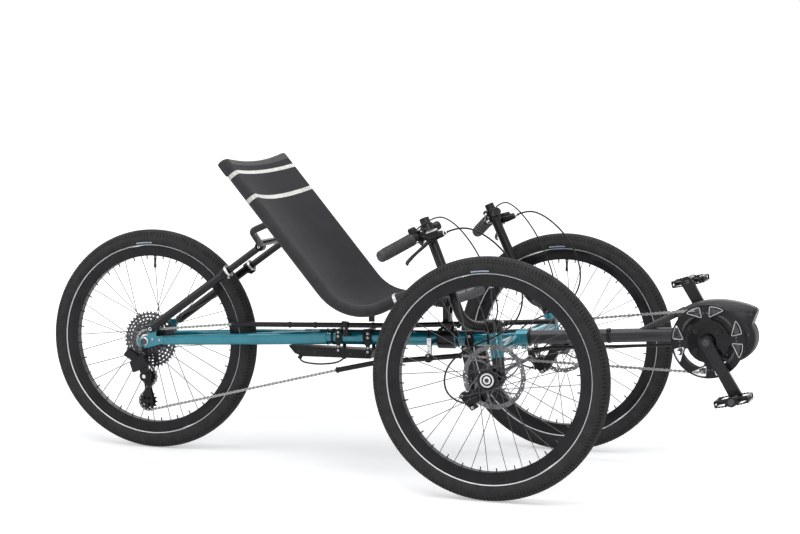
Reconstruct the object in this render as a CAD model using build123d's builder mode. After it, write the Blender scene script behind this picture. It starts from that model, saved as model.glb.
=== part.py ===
from build123d import *
import os
from math import asin, atan2, cos, degrees, pi, radians, sin, sqrt, tan

# Recumbent tadpole trike with an electric mid-drive motor, in millimetres.
# +X points forward, +Y to the rider's left, +Z up. The origin is on the floor,
# under the middle of the machine's bounding box.
os.makedirs("parts", exist_ok=True)

# ---- driving dimensions -------------------------------------------------------
WHEELBASE = 1182.0
TRACK = 842.0
TYRE_R = 333.5            # outer radius of all three tyres
TYRE_SECTION = 55.0       # width and height of the tyre's round section
TYRE_WALL = 4.0
TYRE_H = 54.0             # from the rim's bead seat to the tyre's tread
RIM_W = 34.0              # over the flanges
RIM_DEPTH = 25.5          # from bead seat to the inner face
RIM_WALL = 2.3
FIT = 0.3                 # clearance between seated pieces
RUN = 0.05                # radial clearance of a bearing

MAIN_TUBE_R = 22.5
BOOM_R = 19.5
CROSS_ARM_R = 18.0
KINGPIN_R = 11.0
HEAD_TUBE_R = 18.0
HEAD_TUBE_L = 74.0
CASTER = 11.8             # degrees, top of the kingpin rearward
INCLINE = 16.0            # degrees, top of the kingpin inward
AXLE_R = 8.0              # stub axles of the front wheels
REAR_AXLE_R = 6.0
REAR_WIDTH = 142.0        # between the rear dropouts
CRANK_LEN = 172.5
CRANK_ANGLE = -58.7       # of the right crank, from straight forward
SPOKES = 32
SPOKE_R = 1.0

# crank axle, from the front axle line
CRANK_X = 525.0
CRANK_Z = 419.5

# ---- worked out from them -----------------------------------------------------
BEAD_R = TYRE_R - TYRE_H
PEDAL_L = 98.0
PEDAL_T = 24.0
PEDAL_W = 88.0
PEDAL_TILT = 13.0         # degrees, nose up
REAR_REACH = WHEELBASE + TYRE_R
PEDAL_NOSE = PEDAL_L / 2 * cos(radians(PEDAL_TILT)) + PEDAL_T / 2 * sin(radians(PEDAL_TILT))
FRONT_REACH = CRANK_X + CRANK_LEN * cos(radians(CRANK_ANGLE)) + PEDAL_NOSE
FRONT_X = (REAR_REACH - FRONT_REACH) / 2
WHEEL_Y = TRACK / 2
SECTION_R = TYRE_SECTION / 2
RIM_INNER_R = BEAD_R - RIM_DEPTH
SIDES = (("right", -1), ("left", 1))


def at(x, y, z):
    """A point whose x is counted from the front axle line."""
    return Vector(FRONT_X + x, y, z)


def write(part, name):
    part.label = name
    export_step(part, f"parts/{name}.step")


def rod(start, end, radius, mode=Mode.ADD):
    """A round bar between two points, in the part being built."""
    span = Vector(end) - Vector(start)
    with Locations(Plane(origin=start, z_dir=span)):
        Cylinder(radius, span.length, align=(Align.CENTER, Align.CENTER, Align.MIN), mode=mode)


def tube(points, bends, radius, mode=Mode.ADD):
    """A round tube along straight runs joined by arcs, in the part being built."""
    with BuildLine() as route:
        FilletPolyline(*points, radius=bends)
    with BuildSketch(route.line ^ 0) as section:
        Circle(radius)
    sweep(sections=section.sketch, path=route.line, mode=mode)


def side_plane(y):
    """The plane across the machine at y, its local axes along +X and +Z."""
    return Plane(origin=(FRONT_X, y, 0), x_dir=(1, 0, 0), z_dir=(0, -1, 0))


def hub_plane(centre):
    """A plane through a wheel's axle, its local axes along +Y and +Z, for revolving."""
    return Plane(origin=centre, x_dir=(0, 1, 0), z_dir=(1, 0, 0))


def turned(centre, outline, mode=Mode.ADD):
    """Revolve an outline of (offset along the axle, radius) points about the axle."""
    with BuildSketch(hub_plane(centre)) as half:
        with BuildLine():
            Polyline(*outline, close=True)
        make_face()
    revolve(half.sketch, axis=Axis(centre, (0, 1, 0)), mode=mode)


# ---- wheels ---------------------------------------------------------------------
def make_tyre(centre):
    """A hollow round tyre whose two feet sit between the rim's flanges."""
    middle = TYRE_R - SECTION_R
    flange_top = BEAD_R + 5.5
    foot_out = RIM_W / 2 - RIM_WALL - FIT
    foot_w = 3.4
    with BuildPart() as tyre:
        with BuildSketch(hub_plane(centre)) as section:
            with Locations((0, middle)):
                Circle(SECTION_R)
            with Locations((0, flange_top + FIT)):
                Rectangle(TYRE_SECTION, TYRE_SECTION, align=(Align.CENTER, Align.MAX), mode=Mode.SUBTRACT)
            for side in (-1, 1):
                with Locations((side * (foot_out - foot_w / 2), BEAD_R + FIT)):
                    Rectangle(foot_w, 8.5, align=(Align.CENTER, Align.MIN))
            with Locations((0, middle)):
                Circle(SECTION_R - TYRE_WALL, mode=Mode.SUBTRACT)
        revolve(section.sketch, axis=Axis(centre, (0, 1, 0)))
    return tyre.part


def make_rim(centre):
    """A double-walled rim: flanges, bead seats, well and a sealed hollow."""
    half = RIM_W / 2
    flange_top = BEAD_R + 5.5
    well = 5.5
    with BuildPart() as rim:
        turned(centre, [
            (-half, flange_top), (-half + RIM_WALL, flange_top), (-half + RIM_WALL, BEAD_R),
            (-half + 9, BEAD_R), (-half + 11, BEAD_R - well), (half - 11, BEAD_R - well),
            (half - 9, BEAD_R), (half - RIM_WALL, BEAD_R), (half - RIM_WALL, flange_top),
            (half, flange_top), (half, BEAD_R - 6), (half - 5, RIM_INNER_R),
            (-half + 5, RIM_INNER_R), (-half, BEAD_R - 6),
        ])
        turned(centre, [
            (-half + 2.5, BEAD_R - 8.5), (half - 2.5, BEAD_R - 8.5),
            (half - 7, RIM_INNER_R + 2.5), (-half + 7, RIM_INNER_R + 2.5),
        ], mode=Mode.SUBTRACT)
    return rim.part


def make_spokes(centre, flanges, flange_r, rim_offset):
    """Two rings of crossed spokes from the hub's flanges to the rim."""
    per_side = SPOKES // 2
    cross = 360 / per_side * 3
    lift = FLANGE_T / 2 + SPOKE_R
    with BuildPart() as spokes:
        for flange, direction in flanges:
            for i in range(per_side):
                lead = 1 if i % 2 else -1
                foot_angle = radians(360 / per_side * i)
                rim_angle = foot_angle + radians(cross) * lead
                if direction > 0:
                    foot_angle += pi / per_side
                    rim_angle += pi / per_side
                foot = Vector(flange_r * cos(foot_angle), flange + lift * lead, flange_r * sin(foot_angle))
                tip_y = direction * rim_offset + 1.5 * lead
                tip_r = RIM_INNER_R - 0.25
                tip = Vector(tip_r * cos(rim_angle), tip_y, tip_r * sin(rim_angle))
                rod(centre + foot, centre + tip, SPOKE_R)
    return spokes.part


FRONT_FLANGES = (-24.0, 22.0)     # from the wheel's middle plane, outboard positive
FLANGE_R = 29.0
FLANGE_T = 3.0
FLANGE_RIM = FLANGE_R - SPOKE_R - FIT
HUB_BARREL_R = 15.0
HUB_CAP_R = 19.5
HUB_INNER = -47.0                 # inboard end of the front hub
HUB_OUTER = 29.0                  # outboard face of its cap
ROTOR_R = 90.0
ROTOR_T = 2.0
ROTOR_HUB_R = 22.0
ROTOR_BAND = 15.0


def make_front_hub(centre, s):
    with BuildPart() as hub:
        outline = [
            (HUB_INNER, AXLE_R + RUN), (HUB_INNER, ROTOR_HUB_R - FIT), (HUB_INNER + 4, ROTOR_HUB_R - FIT),
            (HUB_INNER + 4, ROTOR_HUB_R + 4), (HUB_INNER + 8, ROTOR_HUB_R + 4),
            (HUB_INNER + 12, HUB_BARREL_R), (FRONT_FLANGES[0] - FLANGE_T / 2, HUB_BARREL_R),
            (FRONT_FLANGES[0] - FLANGE_T / 2, FLANGE_RIM), (FRONT_FLANGES[0] + FLANGE_T / 2, FLANGE_RIM),
            (FRONT_FLANGES[0] + FLANGE_T / 2, HUB_BARREL_R), (FRONT_FLANGES[1] - FLANGE_T / 2, HUB_BARREL_R),
            (FRONT_FLANGES[1] - FLANGE_T / 2, FLANGE_RIM), (FRONT_FLANGES[1] + FLANGE_T / 2, FLANGE_RIM),
            (FRONT_FLANGES[1] + FLANGE_T / 2, HUB_CAP_R), (HUB_OUTER - 1.5, HUB_CAP_R),
            (HUB_OUTER, HUB_CAP_R - 1.5), (HUB_OUTER, 0), (HUB_OUTER - 4, 0), (HUB_OUTER - 4, AXLE_R + RUN),
        ]
        turned(centre, [(s * y, r) for y, r in outline])
    return hub.part


def make_rotor(centre, s):
    """A brake disc: carrier ring, six swept arms and the braking band."""
    plane = Plane(origin=centre + Vector(0, s * (HUB_INNER + 4), 0), x_dir=(1, 0, 0), z_dir=(0, -s, 0))
    with BuildPart() as rotor:
        with BuildSketch(plane) as face:
            Circle(ROTOR_R)
            Circle(ROTOR_R - ROTOR_BAND, mode=Mode.SUBTRACT)
            Circle(ROTOR_HUB_R + 9)
            with PolarLocations(0, 6):
                with Locations(((ROTOR_HUB_R + ROTOR_R) / 2 - 6, 8)):
                    Rectangle(ROTOR_R - ROTOR_HUB_R - 8, 7, rotation=14)
            Circle(ROTOR_HUB_R, mode=Mode.SUBTRACT)
        extrude(amount=ROTOR_T)
    return rotor.part


for side, s in SIDES:
    hub_centre = at(0, s * WHEEL_Y, TYRE_R)
    flanges = tuple((s * y, s * (1 if y > 0 else -1)) for y in FRONT_FLANGES)
    write(make_tyre(hub_centre), f"tyre_{side}")
    write(make_rim(hub_centre), f"rim_{side}")
    write(make_spokes(hub_centre, flanges, FLANGE_R, 5.0), f"spokes_{side}")
    write(make_front_hub(hub_centre, s), f"hub_{side}")
    write(make_rotor(hub_centre, s), f"rotor_{side}")

# ---- rear wheel -------------------------------------------------------------------
REAR_HUB = at(-WHEELBASE, 0, TYRE_R)
REAR_FLANGES = (-22.0, 32.0)
COG_TEETH = (42, 37, 32, 28, 24, 22, 20, 18, 16, 14, 12)
COG_PITCH = 12.7
COG_T = 1.8
TOOTH = 3.0                # tip of a tooth outside the pitch line
VALLEY = 3.6               # root of the teeth inside the pitch line
COG_STEP = 3.3
COG_FIRST_Y = -29.0        # inner face of the largest cog
CHAIN_COG = 8              # the cog that carries the chain, counted from the largest
CASSETTE_END = -67.0
CASSETTE_BORE = 13.8


def cog_r(teeth):
    """Pitch radius of a sprocket."""
    return COG_PITCH / 2 / sin(pi / teeth)


def polar(centre, r, turn):
    return (centre[0] + r * cos(radians(turn)), centre[1] + r * sin(radians(turn)))


def toothed(centre, teeth):
    """Closed outline of a sprocket: a valley for each roller, a narrow tip between."""
    step = 360 / teeth
    points = []
    for k in range(teeth):
        valley, tip = cog_r(teeth) - VALLEY, cog_r(teeth) + TOOTH
        points += [polar(centre, valley, step * (k - 0.2)), polar(centre, valley, step * (k + 0.2)),
                   polar(centre, tip, step * (k + 0.43)), polar(centre, tip, step * (k + 0.57))]
    return points


with BuildPart() as rear_hub:
    turned(REAR_HUB, [
        (-REAR_WIDTH / 2 + FIT, REAR_AXLE_R + RUN), (-REAR_WIDTH / 2 + FIT, 11), (CASSETTE_END, 11),
        (CASSETTE_END, 13.5), (REAR_FLANGES[0] - FLANGE_T / 2, 13.5),
        (REAR_FLANGES[0] - FLANGE_T / 2, FLANGE_RIM), (REAR_FLANGES[0] + FLANGE_T / 2, FLANGE_RIM),
        (REAR_FLANGES[0] + FLANGE_T / 2, 20), (REAR_FLANGES[1] - FLANGE_T / 2, 20),
        (REAR_FLANGES[1] - FLANGE_T / 2, FLANGE_RIM), (REAR_FLANGES[1] + FLANGE_T / 2, FLANGE_RIM),
        (REAR_FLANGES[1] + FLANGE_T / 2, 14), (60, 14), (60, 11),
        (REAR_WIDTH / 2 - FIT, 11), (REAR_WIDTH / 2 - FIT, REAR_AXLE_R + RUN),
    ])

with BuildPart() as cassette:
    core = [(COG_FIRST_Y, CASSETTE_BORE)]
    for i, teeth in enumerate(COG_TEETH):
        face = COG_FIRST_Y - COG_STEP * i
        root = cog_r(COG_TEETH[i + 1]) - 8 if i < len(COG_TEETH) - 1 else CASSETTE_BORE + 4
        core += [(face, root), (face - COG_STEP, root)]
        with BuildSketch(side_plane(face)) as plate:
            with BuildLine():
                Polyline(*toothed((-WHEELBASE, TYRE_R), teeth), close=True)
            make_face()
            with Locations((-WHEELBASE, TYRE_R)):
                Circle(CASSETTE_BORE + 2, mode=Mode.SUBTRACT)
        extrude(plate.sketch, amount=COG_T)
    turned(REAR_HUB, core + [(core[-1][0], CASSETTE_BORE)])

write(make_tyre(REAR_HUB), "tyre_rear")
write(make_rim(REAR_HUB), "rim_rear")
write(make_spokes(REAR_HUB, ((REAR_FLANGES[0], -1), (REAR_FLANGES[1], 1)), FLANGE_R, 5.0), "spokes_rear")
write(rear_hub.part, "hub_rear")
write(cassette.part, "cassette")

DROPOUT_T = 7.0
with BuildPart() as rear_axle:
    half = REAR_WIDTH / 2 + DROPOUT_T
    rod(REAR_HUB + Vector(0, -half, 0), REAR_HUB + Vector(0, half, 0), REAR_AXLE_R)
    for s in (-1, 1):
        rod(REAR_HUB + Vector(0, s * (half + FIT), 0), REAR_HUB + Vector(0, s * (half + 7), 0), 10.5)
        rod(REAR_HUB + Vector(0, s * half, 0), REAR_HUB + Vector(0, s * (half + 1), 0), REAR_AXLE_R)
write(rear_axle.part, "rear_axle")

# ---- main frame ---------------------------------------------------------------------
TUBE_BEND_X = -200.0       # where the main tube takes the boom's slope
TUBE_BEND_Z = 383.5
FRONT_SLOPE = 4.0          # degrees, of the boom and the tube's front part
REAR_SLOPE = 2.1
TUBE_REAR_X = -690.0
COLLAR_R = 25.0
COLLAR_L = 62.0


def front_line(x):
    """Height of the boom's axis at x."""
    return TUBE_BEND_Z + (x - TUBE_BEND_X) * tan(radians(FRONT_SLOPE))


def rear_line(x):
    """Height of the main tube's axis behind its bend."""
    return TUBE_BEND_Z + (x - TUBE_BEND_X) * tan(radians(REAR_SLOPE))


def kingpin(s, along):
    """A point on the kingpin axis, along it from the stub axle's height."""
    rise = Vector(-tan(radians(CASTER)), -s * tan(radians(INCLINE)), 1).normalized()
    return at(0, s * KINGPIN_Y, TYRE_R) + rise * along


# The axis meets the floor under the wheel's middle plane.
KINGPIN_Y = WHEEL_Y - TYRE_R * tan(radians(INCLINE))
HEAD_LOW = 42.0            # along the kingpin from the stub axle to the head tube
# sections of a rear stay: x, y of its middle, z of its middle, height, width
STAY_SECTIONS = (
    (-620, 9, 366.5, 41, 24),
    (-850, 51, 355, 36, 22),
    (32 - WHEELBASE, REAR_WIDTH / 2 + 1, TYRE_R + 4, 27, 12),
)
# outline of a dropout plate, ahead of and above the rear axle
DROPOUT = ((62, -2.5), (62, 16.5), (39, 18.5), (39, 52.5), (12, 52.5), (10, 18.5), (-22, 8.5),
           (-22, -11.5), (0, -21.5), (22, -15.5))

with BuildPart() as main_frame:
    bend = at(TUBE_BEND_X, 0, TUBE_BEND_Z)
    tube([at(TUBE_REAR_X, 0, rear_line(TUBE_REAR_X)), bend, at(0, 0, front_line(0))], 600, MAIN_TUBE_R)
    rod(at(-COLLAR_L, 0, front_line(-COLLAR_L)), at(0, 0, front_line(0)), COLLAR_R)
    # pinch lugs under the collar
    for x in (-46, -16):
        with Locations(at(x, 0, front_line(x) - COLLAR_R - 2)):
            Box(15, 22, 12)
    # cross arms and head tubes
    for side, s in SIDES:
        rod(at(-45, 0, 388), kingpin(s, HEAD_LOW + HEAD_TUBE_L * 0.36), CROSS_ARM_R)
        rod(kingpin(s, HEAD_LOW), kingpin(s, HEAD_LOW + HEAD_TUBE_L), HEAD_TUBE_R)
        # rear stays
        sections = []
        for x, y, z, height, width in STAY_SECTIONS:
            with BuildSketch(Plane(origin=at(x, s * y, z), x_dir=(0, 1, 0), z_dir=(1, 0, 0))) as ring:
                SlotOverall(height, width, rotation=90)
            sections.append(ring.sketch)
        loft(sections, ruled=True)
        # dropout plate with the axle's hole and the strut's tab
        with BuildSketch(side_plane(s * (REAR_WIDTH / 2 + (DROPOUT_T if s < 0 else 0)))) as plate:
            with BuildLine():
                Polyline(*[(x - WHEELBASE, TYRE_R + z) for x, z in DROPOUT], close=True)
            make_face()
        extrude(plate.sketch, amount=-DROPOUT_T)
    # bores: boom socket, kingpins, rear axle
    rod(at(-170, 0, front_line(-170)), at(1, 0, front_line(1)), BOOM_R + RUN, mode=Mode.SUBTRACT)
    with Locations(at(-25, 0, front_line(-25) - COLLAR_R)):
        Box(52, 3, 20, mode=Mode.SUBTRACT)
    for side, s in SIDES:
        rod(kingpin(s, HEAD_LOW - 1), kingpin(s, HEAD_LOW + HEAD_TUBE_L + 1), KINGPIN_R + RUN,
            mode=Mode.SUBTRACT)
    rod(REAR_HUB + Vector(0, -90, 0), REAR_HUB + Vector(0, 90, 0), REAR_AXLE_R + RUN, mode=Mode.SUBTRACT)
write(main_frame.part, "main_frame")

# ---- boom, motor and its cover -------------------------------------------------------
BOOM_END_X = 455.0
BRACKET_W = 46.0
BRACKET_TOP = 500.0
BRACKET_FRONT = 500.0
BRACE = ((325, 12.0), (448, 499.0))   # x and height over the boom's axis, x and z
BRACE_R = 9.5
BRACE_ENDS = (at(BRACE[0][0], 0, front_line(BRACE[0][0]) + BRACE[0][1]), at(BRACE[1][0], 0, BRACE[1][1]))
MOTOR_W = 92.0
MOTOR_CORE_R = 62.0
MOTOR_DRUM_X = 588.0
MOTOR_DRUM_Z = 428.0
MOTOR_DRUM_R = 66.0
CRANK_AXLE_R = 11.0
CRANK = at(CRANK_X, 0, CRANK_Z)

with BuildPart() as boom:
    rod(at(-165, 0, front_line(-165)), at(BOOM_END_X, 0, front_line(BOOM_END_X)), BOOM_R)
    rod(*BRACE_ENDS, BRACE_R)
    # bracket that holds the motor
    with BuildSketch(side_plane(BRACKET_W / 2)) as cheek:
        with BuildLine():
            Polyline((436, 392), (430, 440), (432, 490), (470, BRACKET_TOP), (BRACKET_FRONT, BRACKET_TOP),
                     (BRACKET_FRONT, 392), close=True)
        make_face()
    extrude(cheek.sketch, amount=BRACKET_W)
    with Locations(Plane(origin=CRANK, z_dir=(0, 1, 0))):
        Cylinder(MOTOR_CORE_R + FIT, 2 * BRACKET_W, mode=Mode.SUBTRACT)
write(boom.part, "boom")

with BuildPart() as motor:
    with BuildSketch(side_plane(MOTOR_W / 2)) as body:
        with Locations((CRANK_X, CRANK_Z)):
            Circle(MOTOR_CORE_R)
        with Locations((MOTOR_DRUM_X, MOTOR_DRUM_Z)):
            Circle(MOTOR_DRUM_R)
    extrude(body.sketch, amount=MOTOR_W)
    with Locations(Plane(origin=CRANK, z_dir=(0, 1, 0))):
        Cylinder(CRANK_AXLE_R + RUN, 2 * MOTOR_W, mode=Mode.SUBTRACT)
write(motor.part, "motor")

# hood sections: x, top, half width at the shoulder, shoulder height and lower edge
HOOD = ((440, 504, 26, 486, 470), (470, 519, 38, 497, 462), (510, 530, 46, 505, 450),
        (550, 534, 48, 508, 440), (590, 531, 48, 505, 440), (625, 524, 44, 500, 448),
        (648, 516, 36, 495, 460), (657, 508, 28, 492, 468))
with BuildPart() as motor_hood:
    for x, top, half, shoulder, low in HOOD:
        with BuildSketch(Plane(origin=at(x, 0, 0), x_dir=(0, 1, 0), z_dir=(1, 0, 0))) as section:
            with BuildLine():
                arc = ThreePointArc((-half, shoulder), (0, top), (half, shoulder))
                Polyline(arc @ 1, (half, low), (-half, low), arc @ 0)
            make_face()
    loft()
    for x, z, r in ((CRANK_X, CRANK_Z, MOTOR_CORE_R), (MOTOR_DRUM_X, MOTOR_DRUM_Z, MOTOR_DRUM_R)):
        with Locations(Plane(origin=at(x, 0, z), z_dir=(0, 1, 0))):
            Cylinder(r + FIT, 2 * MOTOR_W, mode=Mode.SUBTRACT)
    with Locations(at(BRACKET_FRONT + FIT, 0, BRACKET_TOP + FIT)):
        Box(100, BRACKET_W + 2 * FIT, 100, align=(Align.MAX, Align.CENTER, Align.MAX), mode=Mode.SUBTRACT)
    rod(*BRACE_ENDS, BRACE_R + FIT, mode=Mode.SUBTRACT)
write(motor_hood.part, "motor_hood")

# ---- chain path -------------------------------------------------------------------------
RING_TEETH = 44
GUIDE_TEETH = 12
TENSION_TEETH = 14
CHAIN_W = 4.4
CHAIN_H = 6.0
CHAIN_GAP = 0.8
CHAIN_Y = COG_FIRST_Y - COG_STEP * CHAIN_COG - COG_T / 2
CHAIN_OUT = TOOTH + CHAIN_GAP + CHAIN_H / 2     # band's middle outside the pitch line
CHAIN_TUBE_R = 7.5
CHAIN_TUBE_BORE = 5.8
# hangers of the chain tubes: x, height of the tube and of the foot on the main tube
HANGERS = ((-287, 328.0, 372), (-545, 412.0, 381))
HANGER_L = 14.0
HANGER_T = 5.0
# corners of the chain's two long runs, x and z
UPPER_RUN = ((87, 454), (-379, 419), (-905, 397))
LOWER_RUN = ((-572, 277), (-451, 306), (-190, 341))
GUIDE = (6.0 - WHEELBASE, TYRE_R - 109.5)
TENSION = (4.0 - WHEELBASE, TYRE_R - 183.5)


def tangent(a, ra, b, rb):
    """End points of the line that leaves circle a and meets circle b. A circle that is
    passed anticlockwise has a positive radius, one passed clockwise a negative one."""
    span = Vector(b[0] - a[0], b[1] - a[1])
    heading = atan2(span.Y, span.X) + asin((rb - ra) / span.length) * -1
    away = (sin(heading), -cos(heading))
    return ((a[0] + away[0] * ra, a[1] + away[1] * ra), (b[0] + away[0] * rb, b[1] + away[1] * rb))


def angle_of(centre, point):
    return degrees(atan2(point[1] - centre[1], point[0] - centre[0]))


ring = (CRANK_X, CRANK_Z)
cog = (-WHEELBASE, TYRE_R)
ring_r = cog_r(RING_TEETH) + CHAIN_OUT
chain_cog_r = cog_r(COG_TEETH[CHAIN_COG]) + CHAIN_OUT
guide_r = cog_r(GUIDE_TEETH) + CHAIN_OUT
tension_r = cog_r(TENSION_TEETH) + CHAIN_OUT
stops = [(ring, ring_r)] + [(point, 0) for point in UPPER_RUN]
stops += [(cog, chain_cog_r), (GUIDE, -guide_r), (TENSION, tension_r)]
stops += [(point, 0) for point in LOWER_RUN] + [(ring, ring_r)]
with BuildPart() as chain:
    with BuildSketch(side_plane(CHAIN_Y + CHAIN_W / 2)) as band:
        arrival = None
        for (a, ra), (b, rb) in zip(stops, stops[1:]):
            start, end = tangent(a, ra, b, rb)
            middle = ((start[0] + end[0]) / 2, (start[1] + end[1]) / 2)
            run = Vector(end[0] - start[0], end[1] - start[1])
            with Locations(Location(middle, angle_of(start, end))):
                SlotCenterToCenter(run.length, CHAIN_H)
            if arrival and ra:
                turn = (angle_of(a, start) - angle_of(a, arrival)) % 360
                if ra < 0:
                    turn -= 360
                with BuildLine() as wrap:
                    CenterArc(a, abs(ra), angle_of(a, arrival), turn)
                trace(wrap.line, line_width=CHAIN_H)
            arrival = end
        first = tangent(*stops[0], *stops[1])[0]
        turn = (angle_of(ring, first) - angle_of(ring, arrival)) % 360
        with BuildLine() as wrap:
            CenterArc(ring, ring_r, angle_of(ring, arrival), turn)
        trace(wrap.line, line_width=CHAIN_H)
    extrude(band.sketch, amount=CHAIN_W)
write(chain.part, "chain")

with BuildPart() as chain_tubes:
    for run, bend in ((UPPER_RUN, 600), (LOWER_RUN, 400)):
        points = [at(x, CHAIN_Y, z) for x, z in run]
        tube(points, bend, CHAIN_TUBE_R)
    for x, tube_z, foot_z in HANGERS:
        with Locations(at(x, CHAIN_Y, tube_z)):
            Box(HANGER_L, 2 * CHAIN_TUBE_R + 6, 2 * CHAIN_TUBE_R + 5)
        with Locations(at(x, CHAIN_Y, (tube_z + foot_z) / 2)):
            Box(HANGER_L, HANGER_T, abs(tube_z - foot_z) + HANGER_T)
        with Locations(at(x, CHAIN_Y / 2, foot_z)):
            Box(HANGER_L, abs(CHAIN_Y) + HANGER_T, HANGER_T)
    for run, bend in ((UPPER_RUN, 600), (LOWER_RUN, 400)):
        tube([at(x, CHAIN_Y, z) for x, z in run], bend, CHAIN_TUBE_BORE, mode=Mode.SUBTRACT)
    rod(at(TUBE_REAR_X, 0, rear_line(TUBE_REAR_X)), at(TUBE_BEND_X, 0, TUBE_BEND_Z), MAIN_TUBE_R + RUN,
        mode=Mode.SUBTRACT)
    with Locations(at(-450, MAIN_TUBE_R, 400)):
        Box(600, 2 * MAIN_TUBE_R, 300, mode=Mode.SUBTRACT)
write(chain_tubes.part, "chain_tubes")

IDLER_R = 16.0
IDLER_X = -176.0
with BuildPart() as idler:
    idler_z = 341 + CHAIN_H / 2 + CHAIN_GAP + IDLER_R
    centre = at(IDLER_X, CHAIN_Y, idler_z)
    rod(centre - Vector(0, 4, 0), centre + Vector(0, 4, 0), IDLER_R)
    rod(centre - Vector(0, 9, 0), at(IDLER_X, -MAIN_TUBE_R - 2, idler_z), 4)
    rod(centre - Vector(0, 9, 0), centre - Vector(0, 5, 0), 11)
    with Locations(at(IDLER_X, -MAIN_TUBE_R - FIT - 2, idler_z + 18)):
        Box(26, 4, 52)
write(idler.part, "idler")

# ---- derailleur ---------------------------------------------------------------------------
CAGE_T = 2.0
HANGER_X = -10.0 - WHEELBASE
# outline of the body, from the guide pulley's axle
MECH = ((28, -2), (34, 26), (16, 62), (-30, 80), (-56, 64), (-46, 38), (-20, 2), (-4, -12))
with BuildPart() as derailleur:
    for centre, teeth in ((GUIDE, GUIDE_TEETH), (TENSION, TENSION_TEETH)):
        hub = at(centre[0], CHAIN_Y, centre[1])
        with BuildSketch(side_plane(CHAIN_Y + COG_T / 2)) as pulley:
            with BuildLine():
                Polyline(*toothed(centre, teeth), close=True)
            make_face()
        extrude(pulley.sketch, amount=COG_T)
        rod(hub - Vector(0, 6, 0), hub + Vector(0, 6, 0), 6)
    for y in (CHAIN_Y - 6 - CAGE_T, CHAIN_Y + 6):
        with BuildSketch(side_plane(y + CAGE_T)) as cheek:
            middle = ((GUIDE[0] + TENSION[0]) / 2, (GUIDE[1] + TENSION[1]) / 2)
            length = sqrt((GUIDE[0] - TENSION[0]) ** 2 + (GUIDE[1] - TENSION[1]) ** 2)
            with Locations(Location(middle, angle_of(TENSION, GUIDE))):
                SlotCenterToCenter(length, 34)
        extrude(cheek.sketch, amount=CAGE_T)
    # the body, with its motor, outboard of the cage and up to the hanger
    with BuildSketch(side_plane(CHAIN_Y - 8)) as body:
        with BuildLine():
            Polyline(*[(GUIDE[0] + x, GUIDE[1] + z) for x, z in MECH], close=True)
        make_face()
    extrude(body.sketch, amount=28)
    rod(at(HANGER_X, CHAIN_Y - 30, TYRE_R - 33.5),
        at(HANGER_X, -REAR_WIDTH / 2 - DROPOUT_T - FIT, TYRE_R - 17.5), 7)
    add(main_frame.part, mode=Mode.SUBTRACT)
write(derailleur.part, "derailleur")

# ---- cranks and chainring -----------------------------------------------------------------
RING_R = 103.5
GUARD_T = 3.0
GUARD_ARMS = 4
# corners of the guard's windows: radius, and degrees from the arm beside them
RIM_WINDOW = ((69, 13), (100.5, 12.5), (100.5, 26), (101, 39))
HUB_WINDOW = ((61, 25), (66, 26), (88, 41), (88, 49), (66, 64), (61, 65))
TEETH_BORE = 75.5
RING_BOLT = (80.0, 4.5, 4.2)  # circle of the bolts, degrees from the arm, radius
ARM_T = 14.0
ARM_W = 30.0
ARM_Y = 81.0               # inner face of the crank arms
PEDAL_PIN_R = 7.0
with BuildPart() as chainring:
    with BuildSketch(side_plane(CHAIN_Y - CHAIN_W / 2 - 1.2)) as guard:
        with Locations(ring):
            Circle(RING_R)
            Circle(CRANK_AXLE_R, mode=Mode.SUBTRACT)
        for k in range(GUARD_ARMS):
            arm = 360 / GUARD_ARMS * k
            for window, ways in ((RIM_WINDOW, (-1, 1)), (HUB_WINDOW, (1,))):
                for way in ways:
                    with BuildLine():
                        Polyline(*[polar(ring, r, arm + way * turn) for r, turn in window], close=True)
                    make_face(mode=Mode.SUBTRACT)
    extrude(guard.sketch, amount=GUARD_T)
    with BuildSketch(side_plane(CHAIN_Y + COG_T / 2)) as teeth:
        with BuildLine():
            Polyline(*toothed(ring, RING_TEETH), close=True)
        make_face()
        with Locations(ring):
            Circle(TEETH_BORE, mode=Mode.SUBTRACT)
    extrude(teeth.sketch, amount=COG_T)
    for k in range(GUARD_ARMS):
        for way in (-1, 1):
            x, z = polar(ring, RING_BOLT[0], 360 / GUARD_ARMS * k + way * RING_BOLT[1])
            rod(at(x, CHAIN_Y, z), at(x, CHAIN_Y - CHAIN_W / 2 - 2, z), RING_BOLT[2])
write(chainring.part, "chainring")

with BuildPart() as cranks:
    rod(CRANK + Vector(0, -ARM_Y - ARM_T, 0), CRANK + Vector(0, ARM_Y + ARM_T, 0), CRANK_AXLE_R - 0.2)
    rod(CRANK + Vector(0, -ARM_Y, 0), CRANK + Vector(0, -abs(CHAIN_Y) - 10, 0), 20)
    for side, s in SIDES:
        angle = radians(CRANK_ANGLE) if s < 0 else radians(CRANK_ANGLE + 180)
        tip = CRANK + Vector(CRANK_LEN * cos(angle), 0, CRANK_LEN * sin(angle))
        face = s * ARM_Y if s < 0 else ARM_Y + ARM_T
        middle = ((CRANK.X + tip.X) / 2 - FRONT_X, (CRANK.Z + tip.Z) / 2)
        with BuildSketch(side_plane(face)) as arm:
            with Locations(Location(middle, degrees(angle))):
                SlotCenterToCenter(CRANK_LEN, ARM_W)
        extrude(arm.sketch, amount=ARM_T)
        rod(tip + Vector(0, s * ARM_Y, 0), tip + Vector(0, s * (ARM_Y + ARM_T + PEDAL_W), 0), PEDAL_PIN_R)
write(cranks.part, "cranks")

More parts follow.
